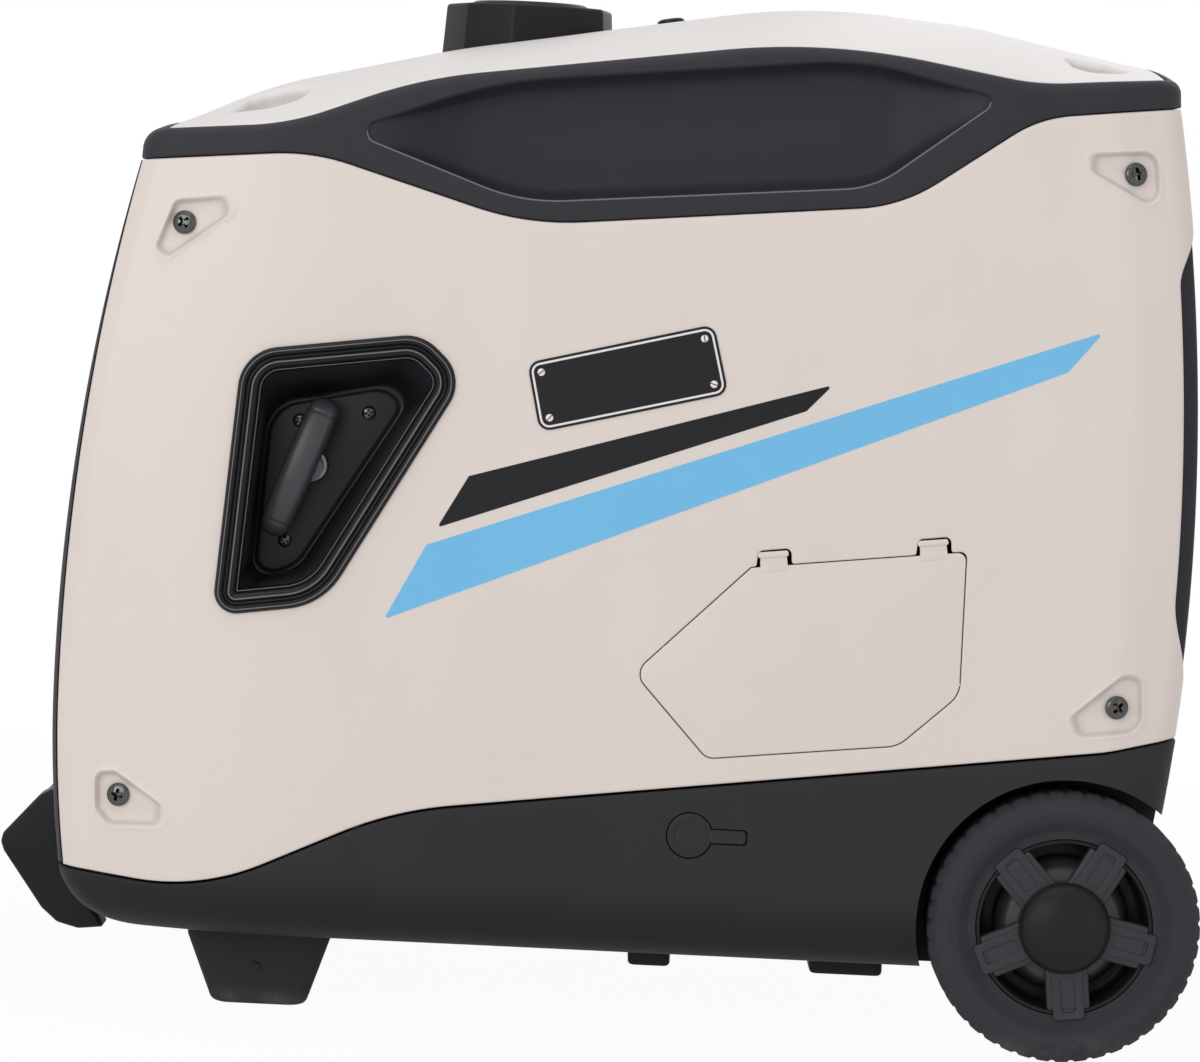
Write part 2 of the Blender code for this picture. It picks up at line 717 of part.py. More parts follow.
def service_door():
    faces = (-HALF_WIDTH, -HALF_WIDTH + WALL)
    door = loft("service_door", [[(x, y, z) for x, z in door_outline(0)] for y in faces], CREAM)
    tabs = [tab_shape(x, 0.0, -HALF_WIDTH - 0.0005, -HALF_WIDTH + WALL - 0.0005) for x in DOOR_TABS]
    join(door, gathered("add_door_tabs", tabs))
    pivot(door, (DOOR[4][0], -HALF_WIDTH, DOOR[4][1]))


def recess_loop(distance, lift=None, y=None):
    """One ring of the starter bezel, at a height over the skin or in a plane."""
    outline = outline_of(RECESS, RECESS_RADII, distance, 3)
    if y is not None:
        return [(x, y, z) for x, z in outline]
    return [skin(x, z, -1, -lift) for x, z in outline]


def recoil_bezel():
    loops = [
        recess_loop(0.0185, y=RECESS_FLOOR_Y + WALL),
        recess_loop(0.0100, lift=-0.0085),
        recess_loop(0.0022, lift=-0.0055),
        recess_loop(0.0022, lift=GAP),
        recess_loop(0.0000, lift=GAP),
        recess_loop(0.0006, lift=0.0020),
        recess_loop(0.0038, lift=0.0024),
        recess_loop(0.0058, lift=0.0004),
        recess_loop(0.0080, lift=0.0008),
        recess_loop(0.0098, lift=-0.0030),
        recess_loop(0.0125, lift=-0.0045),
        recess_loop(0.0205, y=RECESS_FLOOR_Y),
    ]
    bezel = loft("recoil_bezel", loops, BLACK)
    rope_way = [(ROPE_X, RECESS_FLOOR_Y + d, ROPE_Z) for d in (-0.01, 0.01)]
    subtract(bezel, rod("cut_rope_hole", *rope_way, 0.0045, None, 12))


def recoil_grip():
    """An arched bar across the rope, with a short stem on the rope's line."""
    along = Vector((math.sin(PULL_TILT), 0, math.cos(PULL_TILT)))
    across = Vector((math.cos(PULL_TILT), 0, -math.sin(PULL_TILT)))
    loops = []
    sizes = ((-1.0, 0.62), (-0.93, 0.92), (-0.6, 0.98), (0, 1.06), (0.6, 0.98), (0.93, 0.92), (1.0, 0.62))
    for t, size in sizes:
        crest = Vector((ROPE_X, PULL_FACE_Y + PULL_THICK / 2 + 0.004 * t * t, ROPE_Z))
        middle = crest + along * (t * PULL_LENGTH / 2)
        loop = []
        for k in range(10):
            angle = math.tau * k / 10
            r = PULL_THICK / 2 * size
            loop.append(middle + across * (r * math.cos(angle)) + Vector((0, r * math.sin(angle) * 0.9, 0)))
        loops.append(loop)
    grip = loft("recoil_grip", loops, GREY)
    stem_ends = [(ROPE_X, y, ROPE_Z) for y in (PULL_FACE_Y + 0.007, RECESS_FLOOR_Y - 0.002)]
    join(grip, rod("add_grip_stem", *stem_ends, 0.0062, None, 12))
    pivot(grip, (ROPE_X, RECESS_FLOOR_Y, ROPE_Z))


def starter_rope():
    start = (ROPE_X, 0.0, ROPE_Z)
    rope = rod("starter_rope", start, (ROPE_X, RECESS_FLOOR_Y - 0.002 + GAP, ROPE_Z), ROPE_RADIUS, ROPE, 8)
    pivot(rope, start)


COVER_SHARES = (1.0, 0.7, 0.35, 0.0, -0.35, -0.7, -1.0)


def frame_stations():
    """Places round the top frame: (x, y, outward x, outward y, share of the end bar's crown)."""
    front = front_x(LOW_LINE[0][1])
    first = front_x(height_on(LOW_LINE, front))
    rear = rear_x(height_on(LOW_LINE, REAR_X))
    places = corner_steps(first, 1)
    places += [-0.222, -0.192, -0.174, -0.159, -0.145, HOLD_LOW[0][0], -0.120, -0.106, -0.088, -0.068]
    places += [-0.048, -0.024, 0.035, 0.080, 0.118, 0.132, 0.150, 0.168, HOLD_LOW[-1][0]]
    places += [0.198, 0.210, 0.224, crease_x(height_on(LOW_LINE, REAR_X))]
    places += corner_steps(rear, -1)[::-1]
    near = [(x, -half_width(x, height_on(LOW_LINE, x))) for x in places]
    shares = COVER_SHARES[-2:0:-1]
    rear_bar = [(near[-1][0], -near[-1][1] * share) for share in shares]
    front_bar = [(near[0][0], near[0][1] * share) for share in shares]
    far = [(x, -y) for x, y in reversed(near)]
    path = near + rear_bar + far + front_bar
    crowns = [0.0] * len(near) + [1 - s * s for s in shares] + [0.0] * len(far) + [1 - s * s for s in shares]
    stations = []
    for i, (x, y) in enumerate(path):
        after = Vector(path[(i + 1) % len(path)])
        along = (after - Vector(path[i - 1])).normalized()
        stations.append((x, y, along.y, -along.x, crowns[i]))
    return stations, len(near)


def frame_section(station):
    """Closed section of the top frame as (inward distance, height) pairs."""
    x, _, _, _, crown = station
    low = height_on(LOW_LINE, x)
    edge = height_on(TOP_LINE, x)
    top = edge + max(height_on(CROWN_LINE, x) - edge, 0.0) * crown
    shoulder = top - BAND_ROUND
    start, end = HOLD_LOW[0][0], HOLD_LOW[-1][0]
    depth = 0.0
    mouth_low = low + 0.35 * (shoulder - low)
    mouth_top = low + 0.65 * (shoulder - low)
    if start <= x <= end:
        mouth_low = height_on(HOLD_LOW_LINE, x)
        mouth_top = min(height_on(HOLD_TOP_LINE, x), shoulder - 0.0005)
        depth = HOLD_DEPTH * smooth((x - start) / HOLD_RAMP) * smooth((end - x) / HOLD_RAMP)
    tall = mouth_top - mouth_low
    pairs = [
        (0, low),
        (0, mouth_low),
        (depth, mouth_low + min(0.004, 0.25 * tall)),
        (depth, mouth_top - min(0.002, 0.2 * tall)),
        (0, mouth_top),
        (0, shoulder),
        (BAND_ROUND * 0.29, top - BAND_ROUND * 0.29),
        (BAND_ROUND, top),
        (BAND_ROUND, top - WALL),
        (depth + WALL, mouth_top + 0.001 if depth else mouth_top),
        (depth + WALL, mouth_low),
        (WALL, low),
    ]
    leans = [TUMBLE_IN * ((min(z, edge) - TUMBLE_Z) / TUMBLE_RISE) ** 2 for _, z in pairs]
    return [(d + lean - leans[0], z) for (d, z), lean in zip(pairs, leans)]


def top_frame():
    stations, _ = frame_stations()
    loops = []
    for station in stations:
        x, y, out_x, out_y, _ = station
        loops.append([(x - out_x * d, y - out_y * d, z) for d, z in frame_section(station)])
    loft("top_frame", loops, CHARCOAL, ring=True)


def cover_grid(drop, spread=0.0):
    """Upper surface of the cover, lowered by drop, as rows across the object."""
    stations, count = frame_stations()
    rows = []
    for station in stations[:count]:
        x, y, out_x, out_y, _ = station
        edge, z = frame_section(station)[7]
        edge += SEAM - spread
        px, py = x - out_x * edge, y - out_y * edge
        rise = max(height_on(CROWN_LINE, x) - z, 0.0)
        rows.append([(px, py * share, z + rise * (1 - share * share) - drop) for share in COVER_SHARES])
    return rows


LID_DIMPLES = (
    ((-0.214, 0.128), (-0.170, 0.110), (-0.166, 0.124), (-0.206, 0.150)),
    ((0.268, 0.122), (0.234, 0.106), (0.230, 0.120), (0.262, 0.146)),
)


def lid_dimples():
    """Teardrop outlines (x, y) at the four ends of the cover."""
    outlines = []
    for side in (-1, 1):
        for corners in LID_DIMPLES:
            outlines.append([(x, side * y) for x, y in corners])
    return outlines


def lid_height(x, y):
    edge = height_on(TOP_LINE, x)
    rise = height_on(CROWN_LINE, x) - edge
    share = y / (half_width(x, edge) - BAND_ROUND)
    return edge + rise * (1 - share * share)


def gauge_frame():
    """Frame on the cover where the fuel gauge sits, square to the surface."""
    step = 0.008
    slope = (lid_height(GAUGE_X + step, 0) - lid_height(GAUGE_X - step, 0)) / (2 * step)
    return aim((GAUGE_X, 0, lid_height(GAUGE_X, 0)), (-slope, 0, 1))


def top_cover():
    cover = shell("top_cover", cover_grid(0.0), cover_grid(WALL), CREAM)
    below = shell("keep_below_cover", cover_grid(0.001), cover_grid(0.060))
    cup_floor = WELL_FLOOR - WALL
    cup = turned(
        "add_cap_well",
        ((0, cup_floor), (WELL_RADIUS + WALL, cup_floor), (WELL_RADIUS + WALL, CAP_TOP), (0, CAP_TOP)),
        aim((CAP_X, 0, 0), (0, 0, 1)),
        28,
    )
    boolean(cup, "INTERSECT", below)
    join(cover, cup)
    well = rod_shape((CAP_X, 0, WELL_FLOOR), (CAP_X, 0, KNOB_TOP + 0.03), WELL_RADIUS, 28)
    subtract(cover, solid("cut_cap_well", *well))
    neck_hole = rod_shape((CAP_X, 0, WELL_FLOOR - 0.02), (CAP_X, 0, WELL_FLOOR + 0.01), NECK_RADIUS + RUN, 20)
    r = GAUGE_STEM + GAP
    gauge_hole = turned_shape(((0, -0.02), (r, -0.02), (r, 0.02), (0, 0.02)), gauge_frame(), 16)
    subtract(cover, gathered("cut_cover_holes", [neck_hole, gauge_hole]))
    bosses = []
    cuts = []
    for corners in lid_dimples():
        around = outline_of(corners, [0.006] * 4, -0.002, 2)
        mouth = outline_of(corners, [0.006] * 4, -0.003, 2)
        floor = outline_of(corners, [0.006] * 4, 0.003, 2)
        bosses.append(lofted([[(x, y, lid_height(x, y) - d) for x, y in around] for d in (0.0015, 0.007)]))
        lower = [(x, y, lid_height(x, y) - 0.0035) for x, y in floor]
        upper = [(x, y, lid_height(x, y) + 0.003) for x, y in mouth]
        cuts.append(lofted([lower, upper]))
    join(cover, gathered("add_lid_bosses", bosses))
    subtract(cover, gathered("cut_lid_dimples", cuts))
    merge_flat(cover)


def end_rows(low, high, count):
    return [low + (high - low) * k / (count - 1) for k in range(count)]


def front_panel():
    low = height_on(BASE_LINE, FRONT_X) + SEAM
    high = height_on(LOW_LINE, front_x(LOW_LINE[0][1])) - SEAM
    outer = []
    inner = []
    for z in end_rows(low, high, 10):
        edge = panel_front(z) - SEAM
        first = front_x(z)
        near = [(x, half_width(x, z)) for x in (edge, (edge + first) / 2, first)]
        back = [(edge, near[0][1] - 0.0028), (first + WALL, near[1][1] - 0.0025), (first + WALL, near[2][1])]
        outer.append([(x, -y, z) for x, y in near] + [(x, y, z) for x, y in reversed(near)])
        inner.append([(x, -y, z) for x, y in back] + [(x, y, z) for x, y in reversed(back)])
    panel = shell("front_panel", outer, inner, CHARCOAL)
    u, v = FASCIA_HALF
    window = [[fascia_point(a * (u + RUN), b * (v + RUN), d) for a, b in SQUARE] for d in (-0.03, 0.02)]
    subtract(panel, loft("cut_fascia_window", window))


def rear_panel():
    low = height_on(BASE_LINE, REAR_X) + SEAM
    high = height_on(LOW_LINE, rear_x(LOW_LINE[-1][1]) - 0.012) - SEAM
    tuck = WALL + 0.0042
    outer = []
    inner = []
    for z in end_rows(low, high, 9):
        last = rear_x(z)
        face = last - REAR_SUNK
        flange = last - EDGE_REAR - scallop(z) - 0.0075
        corner = half_width(face - 0.0040, z) - tuck
        near = [(flange, half_width(flange, z) - tuck), (face - 0.0040, corner),
                (face - 0.0012, corner - 0.0012), (face, corner - 0.0040)]
        back = [(flange, near[0][1] - WALL), (face - 0.0052, corner - WALL),
                (face - 0.0040, corner - WALL - 0.0008), (face - WALL, corner - WALL - 0.0032)]
        outer.append([(x, -y, z) for x, y in near] + [(x, y, z) for x, y in reversed(near)])
        inner.append([(x, -y, z) for x, y in back] + [(x, y, z) for x, y in reversed(back)])
    panel = shell("rear_panel", outer, inner, CHARCOAL)
    slots = []
    for k in range(9):
        z = 0.320 + 0.016 * k
        slots.append(block_shape((0.26, -0.130, z), (0.32, 0.130, z + 0.008)))
    y, z = TAILPIPE
    slots.append(rod_shape((0.26, y, z), (0.33, y, z), TAILPIPE_RADIUS + RUN, 16))
    subtract(panel, gathered("cut_rear_vents", slots))


SQUARE = ((-1, -1), (1, -1), (1, 1), (-1, 1))
FASCIA_LEAN = math.atan(2 * FRONT_LEAN * (FASCIA_Z - FRONT_Z))
FASCIA_OUT = Vector((-math.cos(FASCIA_LEAN), 0, math.sin(FASCIA_LEAN)))
FASCIA_UP = Vector((math.sin(FASCIA_LEAN), 0, math.cos(FASCIA_LEAN)))


def fascia_point(u, v, out):
    """A place on the sloping fascia: u along Y, v up the slope, out of the face."""
    middle = Vector((front_x(FASCIA_Z), u, FASCIA_Z))
    return middle + FASCIA_UP * v + FASCIA_OUT * out


def panel_back(v):
    """Where the front panel's inner skin lies, square to the fascia, at v above or below its middle."""
    middle = fascia_point(0, 0, 0)
    places = []
    for height in (fascia_point(0, -v, 0).z, fascia_point(0, v, 0).z):
        inner_x = front_x(height) + WALL
        places.append((Vector((inner_x, 0, height)) - middle).dot(FASCIA_OUT))
    return min(places)


def fascia_block_shape(u, v, half_u, half_v, low, high, taper=0.0):
    loops = []
    for out, less in ((low, 0.0), (high, taper)):
        loops.append([fascia_point(u + a * (half_u - less), v + b * (half_v - less), out) for a, b in SQUARE])
    return lofted(loops)


def fascia_block(name, u, v, half_u, half_v, low, high, finish=None, taper=0.0):
    return solid(name, *fascia_block_shape(u, v, half_u, half_v, low, high, taper), finish)


def fascia_disc_shape(u, v, profile, steps=20):
    return turned_shape(profile, aim(fascia_point(u, v, 0), FASCIA_OUT), steps)


def control_panel():
    """Fascia in the front panel's window, with the controls and outlets on it."""
    half_u, half_v = FASCIA_HALF
    face = FASCIA_FACE
    seat = face + GAP
    lip = panel_back(half_v + FASCIA_LIP) - GAP
    loops = []
    for more, out in ((FASCIA_LIP, FASCIA_BACK), (FASCIA_LIP, lip), (0, lip), (-0.001, -0.001)):
        loops.append([fascia_point(a * (half_u + more), b * (half_v + more), out) for a, b in SQUARE])
    fascia = loft("control_fascia", loops, BLACK)
    field_size = (half_u - FASCIA_RIM, half_v - FASCIA_RIM)
    subtract(fascia, fascia_block("cut_fascia_field", 0, 0, *field_size, face, 0.02, None, -0.004))

    fascia_block("display_window", -0.085, 0.050, 0.040, 0.022, seat, face + 0.004, SCREEN, 0.002)
    outlet = fascia_block("duplex_outlet", 0.015, -0.018, 0.034, 0.052, seat, face + 0.005, GREY, 0.0015)
    blades = []
    for v in (-0.041, 0.005):
        blades.append(fascia_block_shape(0.0085, v, 0.001, 0.0042, face + 0.0015, 0.02))
        blades.append(fascia_block_shape(0.0215, v, 0.001, 0.0035, face + 0.0015, 0.02))
        blades.append(fascia_block_shape(0.015, v - 0.0105, 0.0026, 0.0026, face + 0.0015, 0.02))
    subtract(outlet, gathered("cut_outlet_slots", blades))

    rim = 0.027
    profile = ((0, seat), (rim, seat), (rim, face + 0.005), (rim - 0.004, face + 0.008),
               (rim - 0.007, face + 0.008), (rim - 0.009, face + 0.003), (0, face + 0.003))
    twist = solid("twist_outlet", *fascia_disc_shape(0.095, -0.022, profile, 18), GREY)
    slots = []
    for k in range(4):
        a = math.tau * k / 4 + 0.4
        place = (0.095 + 0.009 * math.cos(a), -0.022 + 0.009 * math.sin(a))
        slots.append(fascia_block_shape(*place, 0.0022, 0.0022, face + 0.0012, 0.02))
    subtract(twist, gathered("cut_twist_slots", slots))

    stem = 0.006
    knob_place = (-0.092, -0.040)
    knob_profile = ((0, face - 0.005), (stem, face - 0.005), (stem, seat + GAP), (0.019, seat + GAP),
                    (0.018, face + 0.006), (0, face + 0.006))
    knob = solid("engine_switch", *fascia_disc_shape(*knob_place, knob_profile), BLACK)
    bar = fascia_block_shape(*knob_place, 0.0055, 0.0165, face + 0.005, face + 0.0115, 0.001)
    join(knob, solid("add_knob_bar", *bar))
    pivot(knob, fascia_point(*knob_place, face))

    rocker_place = (-0.028, 0.060)
    rocker_size = (0.0095, 0.0065, face - 0.004, face + 0.0035)
    rocker = fascia_block("eco_switch", *rocker_place, *rocker_size, BLACK, 0.0006)
    pivot(rocker, fascia_point(*rocker_place, face))

    hole = stem + GAP
    pockets = [
        fascia_disc_shape(*knob_place, ((0, face - 0.0055), (hole, face - 0.0055), (hole, 0), (0, 0))),
        fascia_block_shape(*rocker_place, 0.0112, 0.0075, face - 0.0062, 0.0),
    ]
    for index, u in enumerate((0.062, 0.095)):
        reach = 0.0055
        place = (u, 0.052)
        button = solid(
            f"breaker_button_{index + 1}",
            *fascia_disc_shape(*place, ((0, face - 0.002), (reach, face - 0.002), (reach, face + 0.0035),
                                        (reach - 0.001, face + 0.0045), (0, face + 0.0045)), 14),
            RED,
        )
        pivot(button, fascia_point(*place, face))
        hole = reach + RUN
        pocket = ((0, face - 0.006), (hole, face - 0.006), (hole, 0), (0, 0))
        pockets.append(fascia_disc_shape(*place, pocket, 14))
    subtract(fascia, gathered("cut_fascia_pockets", pockets))


def tyre_profile():
    low, high = TYRE_FACES
    bore, tread = TYRE_BORE, TYRE_RADIUS
    return (
        (bore, low + 0.0065),
        (bore, HUB_FACE - TOE_THICK - GAP),
        (math.hypot(TOE_REACH, TOE_WIDTH / 2) + GAP, HUB_FACE - TOE_THICK - GAP),
        (bore + 0.009, high - 0.001),
        (tread - 0.009, high),
        (tread - 0.0035, high - 0.003),
        (tread, high - 0.008),
        (tread, low + 0.006),
        (tread - 0.006, low),
    )


def lug_radius(index, step, radius):
    """Cuts a groove into the tread and its shoulders at every other step."""
    return radius - LUG_DEPTH if step % 2 and index in (5, 6, 7) else radius


def spoke_shapes(frame, side):
    """Spokes with their toes, and the long inset in the face of each."""
    bars = []
    toes = []
    insets = []
    for k in range(SPOKES):
        angle = math.tau * k / SPOKES - side * SPOKE_LEAN
        out = frame.to_3x3().inverted() @ Vector((-side * math.sin(angle), 0, -math.cos(angle)))
        across = Vector((-out.y, out.x, 0))

        def bar(start, end, width, low, high):
            corners = ((start, -1), (end, -1), (end, 1), (start, 1))
            plan = [out * r + across * (w * width / 2) for r, w in corners]
            return lofted([[frame @ (p + Vector((0, 0, h))) for p in plan] for h in (low, high)])

        end = math.sqrt((TYRE_BORE - GAP - RIM / 4) ** 2 - (SPOKE_WIDTH / 2) ** 2)
        bars.append(bar(0.014, end, SPOKE_WIDTH, HUB_FACE - SPOKE_THICK, HUB_FACE))
        toes.append(bar(0.040, TOE_REACH, TOE_WIDTH, HUB_FACE - TOE_THICK, HUB_FACE))
        insets.append(bar(0.0262, 0.0432, 0.0072, HUB_FACE - 0.001, HUB_FACE + 0.01))
    return bars, toes, insets


def wheel(label, side):
    frame = aim((WHEEL_X, 0, TYRE_RADIUS), (0, side, 0))
    tyre = turned(f"tyre_{label}", tyre_profile(), frame, LUGS * 2, RUBBER, lug_radius)
    rim = TYRE_BORE - GAP
    floor = HUB_FACE - BOWL_DEPTH
    hub = turned(
        f"wheel_hub_{label}",
        (
            (AXLE_RADIUS + GAP, floor - 0.014),
            (AXLE_RADIUS + GAP, HUB_FACE - 0.0008),
            (0.0215, HUB_FACE - 0.0008),
            (0.022, HUB_FACE - 0.009),
            (DRUM_RADIUS - 0.004, HUB_FACE - 0.010),
            (DRUM_RADIUS, floor),
            (rim - RIM - 0.001, floor),
            (rim - RIM, HUB_FACE - 0.0016),
            (rim, HUB_FACE - 0.0016),
            (rim, TYRE_FACES[0] + 0.007),
            (rim - 0.003, floor - 0.003),
            (0.020, floor - 0.003),
            (0.017, floor - 0.014),
        ),
        frame,
        20,
        DARK,
    )
    bars, toes, insets = spoke_shapes(frame, side)
    for k in range(SPOKES):
        join(hub, solid(f"add_spoke_{label}_{k}", *bars[k]), solid(f"add_toe_{label}_{k}", *toes[k]))
    subtract(hub, gathered(f"cut_spoke_insets_{label}", insets))
    merge_flat(hub)
    r = CAP_DOME_RADIUS
    base = HUB_FACE + GAP
    rise = CAP_DOME_FACE - base
    dome = [(r * math.cos(math.radians(a)), base + rise * math.sin(math.radians(a))) for a in (0, 20, 42, 65)]
    cap = turned(f"hub_cap_{label}", ((0, base), *dome, (0, base + rise)), frame, 18, DARK)
    for piece in (tyre, hub, cap):
        pivot(piece, (WHEEL_X, side * HUB_FACE, TYRE_RADIUS))


def axle():
    end = HUB_FACE - 0.001
    rod("axle", (WHEEL_X, -end, TYRE_RADIUS), (WHEEL_X, end, TYRE_RADIUS), AXLE_RADIUS, STEEL)


def foot(label, side):
    y0, y1 = FOOT_Y
    levels = (
        (0.0, FOOT_BOTTOM, FOOT_TAPER),
        (BASE_BOTTOM - 0.006, FOOT_TOP, 0.0),
        (BASE_BOTTOM - GAP, FOOT_TOP, 0.0),
    )
    loops = []
    for z, (x0, x1), taper in levels:
        corners = [(x0, y0 + taper), (x1, y0 + taper), (x1, y1 - taper), (x0, y1 - taper)]
        loops.append([(x, side * y, z) for x, y in rounded(corners, [0.006] * 4, 2)])
    loft(f"foot_{label}", loops, RUBBER)


def pull_handle():
    half = LEG_WIDTH / 2
    legs = []
    for side in (-1, 1):
        legs.append(lofted([[(x, side * TUBE_Y + d, z) for x, z in LEG] for d in (-half, half)]))
    inner = TUBE_Y - half + 0.003
    grip = loft("pull_grip", [[(x, y, z) for x, z in CROSSBAR] for y in (-inner, inner)], BLACK)
    join(grip, gathered("add_grip_legs", legs))
    sockets = []
    for label, side in (("near", -1), ("far", 1)):
        y = side * TUBE_Y
        frame = aim((TUBE_ENDS[0], y, TUBE_Z), (1, 0, 0))
        length = TUBE_ENDS[1] - TUBE_ENDS[0]
        profile = ((TUBE_BORE, 0), (TUBE_RADIUS, 0), (TUBE_RADIUS, length), (TUBE_BORE, length))
        tube = turned(f"pull_tube_{label}", profile, frame, 16, STEEL)
        pivot(tube, (TUBE_ENDS[0], y, TUBE_Z))
        sockets.append(rod_shape((TUBE_ENDS[0] - GAP, y, TUBE_Z), (-0.25, y, TUBE_Z), TUBE_RADIUS + GAP))
        low = (GUIDE_ENDS[0], y - 0.013, BASE_BOTTOM + WALL + GAP)
        guide = block(f"tube_guide_{label}", low, (GUIDE_ENDS[1], y + 0.013, TUBE_Z + 0.014), BLACK)
        bore = rod(f"cut_guide_{label}", (-0.25, y, TUBE_Z), (-0.15, y, TUBE_Z), TUBE_RADIUS + RUN)
        subtract(guide, bore)
    subtract(grip, gathered("cut_grip_sockets", sockets))
    pivot(grip, (TUBE_ENDS[0], 0, TUBE_Z))


def fuel_system():
    x0, x1 = TANK_X
    loops = []
    floor, roof = TANK_Z
    for z, less in ((floor, 0.012), (floor + 0.012, 0.0), (roof - 0.02, 0.0), (roof, 0.020)):
        half = TANK_HALF_WIDTH - less
        corners = [(x0 + less, -half), (x1 - less, -half), (x1 - less, half), (x0 + less, half)]
        loops.append([(x, y, z) for x, y in rounded(corners, [0.03] * 4, 2)])
    tank = loft("fuel_tank", loops, BLACK)
    neck = aim((CAP_X, 0, 0), (0, 0, 1))
    top = CAP_BASE + CAP_HOLLOW - GAP
    join(tank, rod("add_neck", (CAP_X, 0, TANK_Z[1] - 0.005), (CAP_X, 0, top), NECK_RADIUS, None, 20))
    bore = NECK_RADIUS - 0.003
    mouth = ((0, floor + 0.03), (bore, floor + 0.03), (bore, top + 0.01), (0, top + 0.01))
    subtract(tank, turned("cut_neck", mouth, neck, 20))

    low = CAP_RADIUS + CAP_DRAFT
    inside = NECK_RADIUS + 0.004
    profile = (
        (0, CAP_BASE + CAP_HOLLOW),
        (inside, CAP_BASE + CAP_HOLLOW),
        (inside + 0.001, CAP_BASE),
        (low, CAP_BASE),
        (CAP_RADIUS, CAP_TOP - 0.003),
        (CAP_RADIUS - 0.003, CAP_TOP),
        (0, CAP_TOP),
    )

    def flute(index, step, radius):
        return radius - 0.0022 if index in (3, 4) and step % 4 == 0 else radius

    cap = turned("fuel_cap", profile, neck, CAP_FLUTES * 4, BLACK, flute)
    pivot(cap, (CAP_X, 0, CAP_TOP))
    base = CAP_TOP + GAP

    def lobe(index, step, radius):
        return radius * (0.96 if index == 2 and step % 4 == 0 else 1.0)

    knob_profile = ((0, base), (KNOB_RADIUS + 0.003, base), (KNOB_RADIUS, KNOB_TOP - 0.0008),
                    (KNOB_RADIUS - 0.0015, KNOB_TOP), (0, KNOB_TOP))
    knob = turned("cap_vent_knob", knob_profile, neck, 24, GREY, lobe)
    pivot(knob, (CAP_X, 0, CAP_TOP))

    turned(
        "fuel_gauge",
        (
            (0, -0.012),
            (GAUGE_STEM, -0.012),
            (GAUGE_STEM, 0.0006),
            (GAUGE_RADIUS, 0.0006),
            (GAUGE_RADIUS * 0.93, 0.0018),
            (GAUGE_RADIUS * 0.6, 0.0028),
            (0, 0.0031),
        ),
        gauge_frame(),
        20,
        BLACK,
    )


